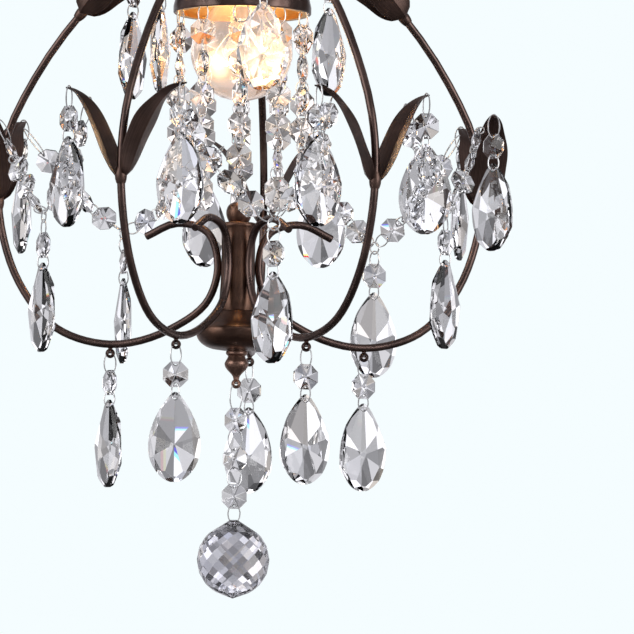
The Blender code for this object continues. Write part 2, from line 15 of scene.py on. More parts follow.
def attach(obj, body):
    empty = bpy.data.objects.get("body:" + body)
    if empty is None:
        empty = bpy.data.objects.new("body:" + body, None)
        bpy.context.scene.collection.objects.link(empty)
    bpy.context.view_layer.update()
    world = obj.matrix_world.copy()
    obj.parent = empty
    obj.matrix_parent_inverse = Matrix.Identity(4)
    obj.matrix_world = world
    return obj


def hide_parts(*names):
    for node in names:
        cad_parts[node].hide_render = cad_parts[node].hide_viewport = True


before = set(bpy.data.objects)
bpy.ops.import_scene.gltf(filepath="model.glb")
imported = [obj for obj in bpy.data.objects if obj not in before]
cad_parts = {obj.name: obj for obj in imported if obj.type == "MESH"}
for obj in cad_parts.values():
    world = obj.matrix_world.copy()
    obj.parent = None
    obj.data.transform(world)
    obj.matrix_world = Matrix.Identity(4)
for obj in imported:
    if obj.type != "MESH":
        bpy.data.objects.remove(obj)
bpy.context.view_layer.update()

# Arms: each is one steel rod, bent cold into a scroll, a sweep and a long rise, and brazed at the column and
# the hub. The finish is oil-rubbed bronze, sprayed dark brown and wiped back so that a copper tone shows.
MM = 0.001
HANG = 277
UP = Vector((0, 0, 1))
RIGHT = Vector((1, 0, 0))
INWARD = Vector((0, 1, 0))


class Signal:
    """One output of a shader node. Arithmetic on it adds Math nodes."""

    def __init__(self, socket):
        self.socket = socket

    def node(self, kind, settings=None, inputs=None, output=0):
        """Any other node in the same tree. The setting called stops fills a colour ramp."""
        made = self.socket.id_data.nodes.new("ShaderNode" + kind)
        for key, value in (settings or {}).items():
            if key == "stops":
                ramp = made.color_ramp
                while len(ramp.elements) < len(value):
                    ramp.elements.new(1)
                for element, (place, colour) in zip(ramp.elements, value):
                    element.position = place
                    element.color = (*colour, 1)
            else:
                setattr(made, key, value)
        for key, value in (inputs or {}).items():
            if isinstance(value, Signal):
                self.socket.id_data.links.new(value.socket, made.inputs[key])
            else:
                made.inputs[key].default_value = value
        return Signal(made.outputs[output])

    def math(self, operation, first, second):
        return self.node("Math", {"operation": operation}, {0: first, 1: second})

    def __add__(self, other):
        return self.math("ADD", self, other)

    def __radd__(self, other):
        return self.math("ADD", other, self)

    def __sub__(self, other):
        return self.math("SUBTRACT", self, other)

    def __rsub__(self, other):
        return self.math("SUBTRACT", other, self)

    def __mul__(self, other):
        return self.math("MULTIPLY", self, other)

    def __rmul__(self, other):
        return self.math("MULTIPLY", other, self)

    def vector(self, operation, other, output=0):
        return self.node("VectorMath", {"operation": operation}, {0: self, 1: other}, output)

    def ramp(self, low, high):
        """0 below low, 1 above high and smooth between them."""
        ends = {"Value": self, "From Min": low, "From Max": high}
        return self.node("MapRange", {"interpolation_type": "SMOOTHSTEP"}, ends)

    def mix(self, first, second):
        """A colour from first at 0 to second at 1."""
        return self.node("Mix", {"data_type": "RGBA"}, {0: self, 6: first, 7: second}, output=2)

    def noise(self, scale, detail=3.0, output=0):
        return self.node("TexNoise", None, {"Vector": self, "Scale": scale, "Detail": detail}, output)

    def bump(self, strength, depth):
        return self.node("Bump", None, {"Height": self, "Strength": strength, "Distance": depth})


def finish(name):
    """A new material, its shader and the point on the surface."""
    made = bpy.data.materials.new(name)
    made.use_nodes = True
    tree = made.node_tree
    return made, tree.nodes["Principled BSDF"], Signal(tree.nodes.new("ShaderNodeTexCoord").outputs["Object"])


def feed(shader, values):
    """Sets a shader's inputs to values, or links them to signals."""
    for key, value in values.items():
        if isinstance(value, Signal):
            shader.id_data.links.new(value.socket, shader.inputs[key])
        else:
            shader.inputs[key].default_value = value


CLOUDS_PER_METRE = 70
GRAINS_PER_METRE = 1500
GRAIN_DEPTH = 0.00005
COAT_ROUGHNESS = 0.22


def clouds_and_grain(point):
    """The wiped patches and the fine grain of the sprayed coat."""
    return point.noise(CLOUDS_PER_METRE, 4).ramp(0.35, 0.75), point.noise(GRAINS_PER_METRE, 2)


def bronze_finish(name, dark, copper, roughness):
    made, shader, point = finish(name)
    cloud, grain = clouds_and_grain(point)
    feed(shader, {
        "Base Color": (cloud * 0.5 + grain * 0.4).mix((*dark, 1), (*copper, 1)),
        "Metallic": 0.9,
        "Roughness": roughness + cloud * 0.08 + grain * 0.06,
        "Normal": grain.bump(0.06, GRAIN_DEPTH),
        "Coat Weight": 0.25 - cloud * 0.12,
        "Coat Roughness": COAT_ROUGHNESS,
    })
    return made


def add_object(name, data):
    """A new object in the scene."""
    made = bpy.data.objects.new(name, data)
    bpy.context.scene.collection.objects.link(made)
    return made


def mesh_object(name, bm):
    """A new object in the scene with a mesh that is drawn to its end."""
    mesh = bpy.data.meshes.new(name)
    bm.to_mesh(mesh)
    bm.free()
    return add_object(name, mesh)


WELD_DISTANCE = 1e-4
SMOOTH_BELOW = math.radians(38)


def piece(name, bm, looks, body="frame", stands_for=(), smooth=SMOOTH_BELOW):
    """Makes a mesh drawn in millimetres a piece of the fixture."""
    bmesh.ops.remove_doubles(bm, verts=bm.verts, dist=WELD_DISTANCE)
    bmesh.ops.recalc_face_normals(bm, faces=bm.faces)
    bm.transform(Matrix.Scale(MM, 4) @ Matrix.Translation(-HANG * UP))
    made = mesh_object(name, bm)
    for look in looks:
        made.data.materials.append(look)
    if smooth:
        made.data.shade_smooth()
        made.data.set_sharp_from_angle(angle=smooth)
    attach(made, body)
    if stands_for:
        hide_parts(*stands_for)
    return made


def turn_to(point, bearing):
    """A point drawn at the front, turned round the column to a bearing."""
    return Matrix.Rotation(math.radians(bearing), 3, "Z") @ Vector(point)


def smooth_path(knots, bend_per_step):
    """Points on a curve through the knots, with each knot's slope weighed by the lengths on its two sides."""
    spans = [(b - a).length for a, b in zip(knots, knots[1:])]
    chords = [(b - a) / d for a, b, d in zip(knots, knots[1:], spans)]
    slopes = [chords[0]]
    for i in range(1, len(knots) - 1):
        slopes.append((chords[i - 1] * spans[i] + chords[i] * spans[i - 1]) / (spans[i - 1] + spans[i]))
    slopes.append(chords[-1])
    path = []
    for i, d in enumerate(spans):
        steps = max(1, math.ceil(slopes[i].angle(slopes[i + 1]) / bend_per_step))
        for k in range(steps):
            t = k / steps
            back = (1 - t) ** 2
            ahead = t**2
            path.append(
                knots[i] * back * (1 + 2 * t) + slopes[i] * d * t * back
                + knots[i + 1] * ahead * (3 - 2 * t) - slopes[i + 1] * d * (1 - t) * ahead
            )
    return path + [knots[-1]], slopes


def skin(bm, rings, closed=False):
    """Faces between rings of points, with the first and last ring filled unless the rings close."""
    made = [[bm.verts.new(point) for point in ring] for ring in rings]
    for a, b in zip(made, made[1:] + made[:1] if closed else made[1:]):
        for k in range(len(a)):
            bm.faces.new((a[k - 1], a[k], b[k], b[k - 1]))
    if not closed:
        bm.faces.new(made[0])
        bm.faces.new(made[-1])


PROFILE_BEND = math.radians(9)
POINTS_APART = 1e-3
TURNED_STEPS = 56


def spin(bm, runs, axis=UP, centre=Vector(), across=RIGHT, steps=TURNED_STEPS, look=0):
    """Turns a profile of (radius, distance) about an axis.

    Each run is one smooth curve that goes on from the last point of the run before, with a corner there.
    """
    points = []
    for run in runs:
        knots = points[-1:] + [Vector((0, r, z)) for r, z in run]
        path = smooth_path(knots, PROFILE_BEND)[0] if len(knots) > 2 else knots
        points += [p for p in path if not points or (p - points[-1]).length > POINTS_APART]
    profile = [bm.verts.new(centre + across * p.y + axis * p.z) for p in points]
    edges = [bm.edges.new(pair) for pair in zip(profile, profile[1:])]
    before = set(bm.faces)
    bmesh.ops.spin(
        bm, geom=profile + edges, cent=centre, axis=axis, angle=math.tau, steps=steps, use_merge=True
    )
    for face in bm.faces:
        if face not in before:
            face.material_index = look


ARM_BEARINGS = (-26, 32, 104, 175, 256)
ARM_BEND_PER_STEP = math.radians(5)
ROD_RADIUS = 2.2
ROD_SIDES = 18
ROD_CHAMFER = 0.35
ARM_FOOT_RADIUS = 74
ARM_KNOTS = (
    (54.3, 61), (36, 68.5), (18.5, 63.5), (11.9, 46), (16.8, 25.5), (39.2, 8.4), (ARM_FOOT_RADIUS, 0),
    (106, 9.2), (128.8, 35.3), (138.4, 60), (142, 82), (141.8, 98), (137.8, 118.2), (121.8, 151.8),
    (94.4, 189.4), (58.8, 222.9), (17.2, 237.4),
)
EYELET_HEIGHT = -5.2
EYELET_RADIUS = 2.75
EYELET_HOLE = 1.0
EYELET_BEVEL = 0.25
EYELET_FLANK = (-1.08, -0.6, 0, 0.6, 1.08)
EYELET_STEPS = 24
NECK_FOOT = EYELET_HEIGHT + 2.2
NECK_PROFILE = ([(0, NECK_FOOT), (1.5, NECK_FOOT)], [(1.2, -2.6), (1.9, -1.6)], [(0, -1)])
NECK_STEPS = 16

bronze = bronze_finish("oil_rubbed_bronze", (0.062, 0.04, 0.035), (0.235, 0.148, 0.124), 0.24)
arm_knots = [Vector((0, -r, z)) for r, z in ARM_KNOTS]
arm_path, arm_slopes = smooth_path(arm_knots, ARM_BEND_PER_STEP)


def circle(centre, radius, first, second, sides):
    """Points round a centre, from one direction towards another."""
    angles = [math.tau * k / sides for k in range(sides)]
    return [centre + radius * (math.cos(a) * first + math.sin(a) * second) for a in angles]


def rod_rings(path):
    """Round rings along the rod, with a chamfer at each of its ends."""
    rings = []
    for i, point in enumerate(path):
        along = (path[min(i + 1, len(path) - 1)] - path[max(i - 1, 0)]).normalized()
        lift = along.cross(RIGHT)
        radii = [(0, ROD_RADIUS)]
        if i == 0:
            radii = [(0, ROD_RADIUS - ROD_CHAMFER), (ROD_CHAMFER, ROD_RADIUS)]
        elif i == len(path) - 1:
            radii = [(-ROD_CHAMFER, ROD_RADIUS), (0, ROD_RADIUS - ROD_CHAMFER)]
        rings += [circle(point + along * shift, radius, RIGHT, lift, ROD_SIDES) for shift, radius in radii]
    return rings


def drilled_bead(bm, centre, axis):
    """A small ball with a hole through it for a ring, open towards the axis."""
    flank = [(EYELET_RADIUS * math.cos(a), EYELET_RADIUS * math.sin(a)) for a in EYELET_FLANK]
    wall = [(EYELET_HOLE, flank[-1][1] - EYELET_BEVEL), (EYELET_HOLE, flank[0][1] + EYELET_BEVEL)]
    spin(bm, [flank, wall[:1], wall[1:], flank[:1]], axis, centre, axis.cross(UP), EYELET_STEPS)


for n, bearing in enumerate(ARM_BEARINGS, 1):
    bm = bmesh.new()
    skin(bm, rod_rings(arm_path))
    drilled_bead(bm, Vector((0, -ARM_FOOT_RADIUS, EYELET_HEIGHT)), turn_to(INWARD, -bearing))
    spin(bm, NECK_PROFILE, centre=Vector((0, -ARM_FOOT_RADIUS, 0)), steps=NECK_STEPS)
    bmesh.ops.rotate(bm, verts=bm.verts, cent=Vector(), matrix=Matrix.Rotation(math.radians(bearing), 3, "Z"))
    piece(f"arm_rod_{n}", bm, [bronze], stands_for=[f"arm_{n}"])

# Leaves: each pair is stamped from thin sheet, creased along the middle and closed round the rod as a sleeve.
# It is brazed there, which leaves small lumps beside the sleeve, and finished with the rods.
SLEEVE_GAP = 0.45
SLEEVE_WALL = 0.7
SLEEVE_LENGTH = 9
SLEEVE_BORE = ROD_RADIUS + 0.05
SLEEVE_SHELL = ROD_RADIUS + SLEEVE_GAP + 0.1
SLEEVE_BEVEL = 0.3
SLEEVE_ROUND = 0.8
SLEEVE_STEPS = 28
LUMP_HEIGHT = 0.2
LUMP_SIZE = (0.9, 1.2, 1.3, 1)
LEAF_HALF_WIDTH = 9.8
LEAF_END_HALF_WIDTH = 1.1
LEAF_CURL = 1.25
LEAF_FOOT = 0.05
LEAF_CREASE = 1.8
LEAF_BELLY = 0.8
LEAF_HOLE = 0.94
LEAF_THICKNESS = 0.9
LEAF_ROWS = 26
LEAF_COLUMNS = 10
LEAF_SMOOTH_BELOW = math.radians(24)
BLADE_SWELL = 9.6
BLADE_BELLY = 0.56
BLADE_CREASE = 2.7
BLADE_ROLL_BELLY = 0.7
BLADE_TIP_CUT = 0.75
EDGE_THINNING = 0.75
EDGE_WAVE = 0.04
EDGE_WAVES = 17
RIPPLE = 0.25
RIPPLES = 15
LOWER_LEAF_KNOT = 10
LOWER_LEAF_REACH = (37, 7, 49)
LOWER_LEAF_ROLLS = ((0, 9), (-20, 0), (0, 0), (0, 0), (0, 0))
UPPER_LEAF_KNOT = 14
UPPER_LEAF_REACH = (23, 13.6, 42)
UPPER_LEAF_ROLLS = (0, 0)


def leaf_at(s, side, reach):
    """Middle, half width, normal and crease of a plain leaf at s, from 0 at the sleeve to 1 at the tip."""
    spread, inward, rise = reach
    root = ROD_RADIUS + SLEEVE_GAP + SLEEVE_WALL / 2
    turn = math.pi / 2 * s
    centre = Vector((side * (root + (spread - root) * s**LEAF_CURL), inward * s**2, rise * math.sin(turn)))
    lean = side * LEAF_CURL * spread * max(s, LEAF_FOOT) ** (LEAF_CURL - 1)
    along = Vector((lean, 0, rise * math.pi / 2 * math.cos(turn)))
    swell = (LEAF_HALF_WIDTH - LEAF_END_HALF_WIDTH) * math.sin(math.pi * s**LEAF_BELLY)
    half_width = LEAF_END_HALF_WIDTH + swell
    normal = INWARD.cross(along.normalized()) * side
    return centre, half_width, normal, centre + normal * LEAF_CREASE * half_width / LEAF_HALF_WIDTH


def rod_lean(knot):
    return Matrix.Rotation(-math.atan2(arm_slopes[knot].y, arm_slopes[knot].z), 3, "X")


def blade(bm, side, reach, roll):
    """A creased, slightly wavy leaf, broad at its foot, with a thickness that thins to its edges."""
    rings = []
    places = []
    for i in range(LEAF_ROWS + 1):
        s = i / LEAF_ROWS
        centre, _, upright, _ = leaf_at(s, side, reach)
        rolled = math.radians(roll) * math.sin(math.pi * s**BLADE_ROLL_BELLY)
        wide = math.cos(rolled) * INWARD + math.sin(rolled) * upright
        normal = math.cos(rolled) * upright - math.sin(rolled) * INWARD
        half_width = LEAF_END_HALF_WIDTH + BLADE_SWELL * math.sin(math.pi * s**BLADE_BELLY)
        half_width *= 1 + EDGE_WAVE * math.sin(EDGE_WAVES * s)
        if s > LEAF_HOLE:
            half_width *= 1 - BLADE_TIP_CUT * (s - LEAF_HOLE) / (1 - LEAF_HOLE)
        fold = BLADE_CREASE * half_width / LEAF_HALF_WIDTH
        loop = []
        for face in (1, -1):
            for k in range(LEAF_COLUMNS + 1):
                v = face * (2 * k / LEAF_COLUMNS - 1)
                cup = fold * (1 - abs(v)) + RIPPLE * math.sin(RIPPLES * s + 2 * v) * abs(v) ** 3
                places.append(v)
                thick = LEAF_THICKNESS / 2 * (1 - EDGE_THINNING * abs(v) ** 4)
                loop.append(centre + half_width * v * wide + normal * (cup + face * thick))
        rings.append(loop)
    before = len(bm.verts)
    skin(bm, rings)
    bm.verts.ensure_lookup_table()
    for vert, v in zip(bm.verts[before:], places):
        vert[bm.verts.layers.float["across"]] = v


def leaf_pair(level, n, bearing, knot, reach, rolls):
    """Two blades on one sleeve at a knot of an arm."""
    bm = bmesh.new()
    bm.verts.layers.float.new("across")
    for side, roll in zip((-1, 1), rolls):
        blade(bm, side, reach, roll)
    half = SLEEVE_LENGTH / 2
    edge = SLEEVE_SHELL - SLEEVE_BEVEL
    flat = half - SLEEVE_ROUND
    spin(bm, [
        [(SLEEVE_BORE, -half), (edge, -half)], [(SLEEVE_SHELL, -flat), (SLEEVE_SHELL, flat), (edge, half)],
        [(SLEEVE_BORE, half)], [(SLEEVE_BORE, -half)],
    ], steps=SLEEVE_STEPS)
    for side in (-1, 1):
        place = Matrix.Translation((side * SLEEVE_SHELL, 0, LUMP_HEIGHT)) @ Matrix.Diagonal(LUMP_SIZE)
        ball = bmesh.ops.create_icosphere(bm, subdivisions=2, radius=1)["verts"]
        bmesh.ops.transform(bm, matrix=place, verts=ball)
    lean = rod_lean(knot).to_4x4()
    place = Matrix.Rotation(math.radians(bearing), 4, "Z") @ Matrix.Translation(arm_knots[knot]) @ lean
    bmesh.ops.transform(bm, matrix=place, verts=bm.verts)
    name = f"{level}_leaf_pair_{n}"
    node = f"{level}_leaves_{n}"
    piece(name, bm, [leaf_bronze], "frame", [node], LEAF_SMOOTH_BELOW)


leaf_bronze, shader, point = finish("leaf_bronze")
across = point.node("Attribute", {"attribute_name": "across"}, output=2)
veins = {"W": across * 9 + point.noise(30, 2), "Scale": 3.0}
streaks = across.node("TexNoise", {"noise_dimensions": "1D"}, veins)
cloud, grain = clouds_and_grain(point)
worn = streaks.ramp(0.35, 0.75) * 0.6 + cloud * 0.3 + grain * 0.1
feed(shader, {
    "Base Color": worn.mix((0.05, 0.031, 0.026, 1), (0.21, 0.126, 0.1, 1)),
    "Metallic": 0.85,
    "Roughness": 0.32 + streaks * 0.1 + grain * 0.06,
    "Normal": (streaks + grain * 0.3).bump(0.2, 0.0001),
    "Coat Weight": 0.2 - cloud * 0.1,
    "Coat Roughness": COAT_ROUGHNESS,
})
for n, bearing in enumerate(ARM_BEARINGS, 1):
    leaf_pair("lower", n, bearing, LOWER_LEAF_KNOT, LOWER_LEAF_REACH, LOWER_LEAF_ROLLS[n - 1])
    leaf_pair("upper", n, bearing, UPPER_LEAF_KNOT, UPPER_LEAF_REACH, UPPER_LEAF_ROLLS)

# Hub and loop: the hub is turned, with the rods brazed to its rim, and the forged loop screws into its top.
# Both have the finish of the rods, and a spigot under each closes its seat.
HUB_BOTTOM = 222.3
HUB_RADIUS = 17.7
HUB_TOP = 256
HUB_SPIGOT = HUB_BOTTOM - 1
HUB_PROFILE = (
    [(0, HUB_TOP), (5, HUB_TOP)], [(5.5, HUB_TOP - 0.5), (6.5, 253.5), (8, 249), (13, 246), (16.7, 244)],
    [(HUB_RADIUS - 0.2, 243.3), (HUB_RADIUS, 242)], [(HUB_RADIUS, 233.5)],
    [(HUB_RADIUS - 0.4, 232.4), (16.2, 231.5)], [(10, 229), (8, 226), (9, 223.8)],
    [(9, HUB_BOTTOM)], [(8.4, HUB_BOTTOM)], [(8.4, HUB_SPIGOT)], [(0, HUB_SPIGOT)],
)
LOOP_RADIUS = 9.5
LOOP_WIRE_RADIUS = 2.5
LOOP_HEIGHT = 270
LOOP_STEPS = 48
LOOP_SIDES = 16
SHANK_RADIUS = 3.5
SHANK_TOP = LOOP_HEIGHT - LOOP_RADIUS
SHANK_SHOULDER = SHANK_TOP - 1.2
SHANK_BOTTOM = HUB_TOP - 0.3
SHANK_PROFILE = (
    [(0, SHANK_TOP), (2, SHANK_TOP)], [(SHANK_RADIUS, SHANK_SHOULDER)], [(SHANK_RADIUS, SHANK_BOTTOM)],
    [(0, SHANK_BOTTOM)],
)
SHANK_STEPS = 32


def turned(name, profile, look, node):
    """One piece turned on a lathe."""
    bm = bmesh.new()
    spin(bm, profile)
    piece(name, bm, [look], stands_for=[node])


turned("turned_hub", HUB_PROFILE, bronze, "top_hub")

bm = bmesh.new()
rings = []
for k in range(LOOP_STEPS):
    a = math.tau * k / LOOP_STEPS
    out = Vector((0, math.sin(a), -math.cos(a)))
    middle = LOOP_HEIGHT * UP + LOOP_RADIUS * out
    rings.append(circle(middle, LOOP_WIRE_RADIUS, out, RIGHT, LOOP_SIDES))
skin(bm, rings, closed=True)
spin(bm, SHANK_PROFILE, steps=SHANK_STEPS)
piece("forged_loop", bm, [bronze], stands_for=["hanging_loop"])

# Shade: a spun cup, bronze outside and bright gold inside, with a rim turned in to carry the curtain's rings.
# The spinning tool leaves fine circular lines on the inside.
SHADE_RIM_HEIGHT = 187
SHADE_RIM_RADIUS = 39
SHADE_BAND_TOP = SHADE_RIM_HEIGHT + 4
SHADE_TOP = 222
SHADE_LIP_RADIUS = 34.2
SHADE_WALL = 1.2
SHADE_BEVEL = 0.5
SHADE_GOLD_FROM = (SHADE_RIM_RADIUS - 1.4, SHADE_RIM_HEIGHT)
NIPPLE_RADIUS = 4.5
NIPPLE_HOLE = NIPPLE_RADIUS + 0.3
SHADE_OUTSIDE = (
    [
        (NIPPLE_HOLE, SHADE_TOP), (14, SHADE_TOP - 0.8), (25, SHADE_TOP - 5), (33.1, SHADE_TOP - 13),
        (37.4, SHADE_TOP - 24), (SHADE_RIM_RADIUS, SHADE_BAND_TOP),
    ],
    [(SHADE_RIM_RADIUS, SHADE_RIM_HEIGHT + SHADE_BEVEL)],
    [(SHADE_RIM_RADIUS - SHADE_BEVEL, SHADE_RIM_HEIGHT)], [SHADE_GOLD_FROM],
)
SHADE_INSIDE = (
    [SHADE_GOLD_FROM, (SHADE_LIP_RADIUS, SHADE_RIM_HEIGHT)],
    [(SHADE_LIP_RADIUS, SHADE_RIM_HEIGHT + SHADE_WALL)],
    [(SHADE_RIM_RADIUS - SHADE_WALL, SHADE_RIM_HEIGHT + SHADE_WALL)],
    [(SHADE_RIM_RADIUS - SHADE_WALL, SHADE_BAND_TOP)],
    [
        (36.2, SHADE_TOP - 24), (31.9, SHADE_TOP - 13.6), (24.4, SHADE_TOP - 6.1), (13.8, SHADE_TOP - 2),
        (NIPPLE_HOLE, SHADE_TOP - SHADE_WALL),
    ],
    [(NIPPLE_HOLE, SHADE_TOP)],
)

gold, shader, point = finish("spun_gold")
height = point.node("SeparateXYZ", None, {0: point}, output=2)
lines = height.node("TexNoise", {"noise_dimensions": "1D"}, {"W": height, "Scale": 2600.0, "Detail": 2.0})
feed(shader, {
    "Base Color": (lines * 0.7 + point.noise(60) * 0.3).mix((0.7, 0.38, 0.12, 1), (1.0, 0.7, 0.3, 1)),
    "Metallic": 1.0,
    "Roughness": 0.26 + lines * 0.14,
    "Normal": lines.bump(0.2, 0.00008),
})
bm = bmesh.new()
spin(bm, SHADE_OUTSIDE)
spin(bm, SHADE_INSIDE, look=1)
piece("spun_shade", bm, [bronze, gold], stands_for=["shade_cup"])

# Lamp holder: a moulded screw socket on a threaded nipple through the top of the shade.
# It is cream thermoset, and the lamp's brass cap goes up into its bore.
HOLDER_TOP = 219.5
HOLDER_SHOULDER = HOLDER_TOP - 5.5
HOLDER_BOTTOM = 199
HOLDER_BEVEL = HOLDER_BOTTOM + 0.8
HOLDER_RADIUS = 17
HOLDER_BORE = 13.6
HOLDER_BORE_TOP = HOLDER_TOP - 3
HOLDER_PROFILE = (
    [(0, SHADE_TOP), (NIPPLE_RADIUS, SHADE_TOP)], [(NIPPLE_RADIUS, HOLDER_TOP)],
    [(14, HOLDER_TOP - 1.5), (16.4, HOLDER_TOP - 3.2), (HOLDER_RADIUS, HOLDER_SHOULDER)],
    [(HOLDER_RADIUS, HOLDER_BEVEL)], [(16.4, HOLDER_BOTTOM)], [(HOLDER_BORE, HOLDER_BOTTOM)],
    [(HOLDER_BORE, HOLDER_BORE_TOP)], [(0, HOLDER_BORE_TOP)],
)

moulding, shader, point = finish("cream_moulding")
cloud = point.noise(300)
feed(shader, {
    "Base Color": cloud.mix((0.62, 0.54, 0.42, 1), (0.74, 0.67, 0.54, 1)),
    "Roughness": 0.42 + cloud * 0.15,
    "Normal": point.noise(2500, 2).bump(0.1, 0.0001),
})
turned("moulded_holder", HOLDER_PROFILE, moulding, "lamp_holder")

# Lamp: a clear blown envelope on a brass screw cap, with a glass stem, two leads and a glowing filament.
# The envelope is a thin wall, so that the filament and the gold shade show through it.
BULB_RADIUS = 28.8
BULB_HEIGHT = 166
BULB_WALL = 0.7
BULB_SMOOTH_BELOW = math.radians(60)
CAP_RADIUS = 13
CAP_FOOT = HOLDER_BOTTOM - 2
CAP_TOP = HOLDER_TOP - 3.3
CAP_SHOULDER = (CAP_RADIUS - 1, CAP_TOP - 3.4)
CAP_LIP_RADIUS = CAP_RADIUS - 1.2
THREAD_STEPS = 15
THREAD_STEP = 0.95
THREAD_DEPTH = 0.45
ENVELOPE = (
    (CAP_RADIUS, CAP_FOOT), (16.5, BULB_HEIGHT + 25), (23, BULB_HEIGHT + 15.5), (27.2, BULB_HEIGHT + 7),
    (BULB_RADIUS, BULB_HEIGHT - 1.5), (26.6, BULB_HEIGHT - 11), (21, BULB_HEIGHT - 19.8),
    (12, BULB_HEIGHT - 26), (0, BULB_HEIGHT - BULB_RADIUS),
)
ENVELOPE_FLOOR_RADIUS = 15
FILAMENT_HEIGHT = 158
FILAMENT_HALF = 15.5
FILAMENT_ENDS = (-13, 16.5)
FILAMENT_STEPS = 180
FILAMENT_TURNS = 18
FILAMENT_COIL = 0.9
FILAMENT_FLARE = 1.5
FILAMENT_BOW = 3
FILAMENT_LIFT = 2.5
FILAMENT_WIRE = 0.55
FILAMENT_SIDES = 6
# Painted glow on the envelope's glass: faint all over, and bright round the filament's two ends.
PAINTED_HALO_RADII = (0.014, 0.001)
PAINTED_HALO_COLOURS = (
    (0.0, (0.12, 0.086, 0.068)), (0.3, (0.19, 0.13, 0.075)), (0.65, (0.44, 0.29, 0.14)),
    (1.0, (1.0, 0.8, 0.52)),
)
LEAD_KNOTS = ((2.5, 197), (3, 187), (8, 175), (FILAMENT_HALF - 1, 166), (FILAMENT_HALF, FILAMENT_HEIGHT + 2))
LEAD_WIRE = 0.35
LEAD_SIDES = 8
LEAD_BEND_PER_STEP = math.radians(8)
STEM_PROFILE = ([(0, 198), (6, 198)], [(4.5, 194), (3.6, 186), (2.4, 181), (0, 180)])
STEM_STEPS = 20

bulb_glass, shader, point = finish("bulb_glass")
haze = point.noise(35, 2)
level_point = point.vector("MULTIPLY", (1, 0, 1))
painted_halo = 0.0
for end in FILAMENT_ENDS:
    spot = Vector((end, 0, FILAMENT_HEIGHT - HANG)) * MM
    painted_halo = painted_halo + level_point.vector("DISTANCE", spot, 1).ramp(*PAINTED_HALO_RADII)
# The glass's warm tint is painted lamplight, and its emission is the painted glow.
feed(shader, {
    "Base Color": haze.mix((1.0, 0.93, 0.865, 1), (1.0, 0.965, 0.925, 1)),
    "Roughness": 0.015 * haze,
    "IOR": 1.48,
    "Transmission Weight": 1.0,
    "Emission Color": painted_halo.node("ValToRGB", {"stops": PAINTED_HALO_COLOURS}, {"Fac": painted_halo}),
    "Emission Strength": 0.6,
})
lining = []
for r, z in ENVELOPE:
    lift = BULB_WALL if r < ENVELOPE_FLOOR_RADIUS and z < BULB_HEIGHT else 0
    lining.append((max(0, r - BULB_WALL), z + lift))
bm = bmesh.new()
spin(bm, [ENVELOPE[::-1], lining[:1], lining[1:]])
envelope = piece("bulb_envelope", bm, [bulb_glass], "frame", ["bulb"], BULB_SMOOTH_BELOW)
envelope.visible_shadow = False

brass, shader, point = finish("screw_brass")
tarnish = point.noise(180)
feed(shader, {
    "Base Color": tarnish.mix((0.5, 0.34, 0.14, 1), (0.72, 0.54, 0.26, 1)),
    "Metallic": 1.0,
    "Roughness": 0.24 + tarnish * 0.15,
})
bm = bmesh.new()
thread = []
for k in reversed(range(THREAD_STEPS)):
    thread.append((CAP_RADIUS - THREAD_DEPTH * (k % 2), CAP_FOOT + THREAD_STEP * k))
spin(bm, [
    [(0, CAP_TOP), (4, CAP_TOP)], [CAP_SHOULDER], thread[:1], thread[1:], [(CAP_LIP_RADIUS, CAP_FOOT)],
    [(0, CAP_FOOT + 2)],
])
piece("screw_cap", bm, [brass])

filament_glow, shader, point = finish("filament_glow")
feed(shader, {
    "Base Color": point.noise(900).mix((0.9, 0.5, 0.2, 1), (1.0, 0.7, 0.4, 1)),
    "Emission Color": point.noise(400).mix((1.0, 0.66, 0.3, 1), (1.0, 0.78, 0.45, 1)),
    "Emission Strength": 13.0,
})


def tube(bm, path, radius, sides):
    """A round wire along any path."""
    rings = []
    side = RIGHT
    for i, point in enumerate(path):
        along = (path[min(i + 1, len(path) - 1)] - path[max(i - 1, 0)]).normalized()
        lift = along.cross(side)
        lift = lift.normalized() if lift.length > POINTS_APART else along.cross(INWARD).normalized()
        side = lift.cross(along)
        rings.append(circle(point, radius, side, lift, sides))
    skin(bm, rings)


bm = bmesh.new()
coil = []
for k in range(FILAMENT_STEPS + 1):
    t = 2 * k / FILAMENT_STEPS - 1
    a = math.tau * FILAMENT_TURNS * t
    bow = Vector((
        FILAMENT_HALF * t, -FILAMENT_BOW + FILAMENT_BOW * t * t, FILAMENT_HEIGHT + FILAMENT_LIFT * t * t
    ))
    coil.append(bow + (FILAMENT_COIL + FILAMENT_FLARE * t**4) * (math.cos(a) * INWARD + math.sin(a) * UP))
tube(bm, coil, FILAMENT_WIRE, FILAMENT_SIDES)
piece("filament", bm, [filament_glow])

lead_wire, shader, point = finish("lead_wire")
feed(shader, {
    "Base Color": point.noise(500).mix((0.4, 0.38, 0.36, 1), (0.6, 0.57, 0.53, 1)),
    "Metallic": 1.0,
    "Roughness": 0.3 + 0.1 * point.noise(700),
})
bm = bmesh.new()
for side in (-1, 1):
    lead = [Vector((side * x, 0, z)) for x, z in LEAD_KNOTS]
    tube(bm, smooth_path(lead, LEAD_BEND_PER_STEP)[0], LEAD_WIRE, LEAD_SIDES)
spin(bm, STEM_PROFILE, steps=STEM_STEPS)
piece("lamp_stem", bm, [lead_wire])

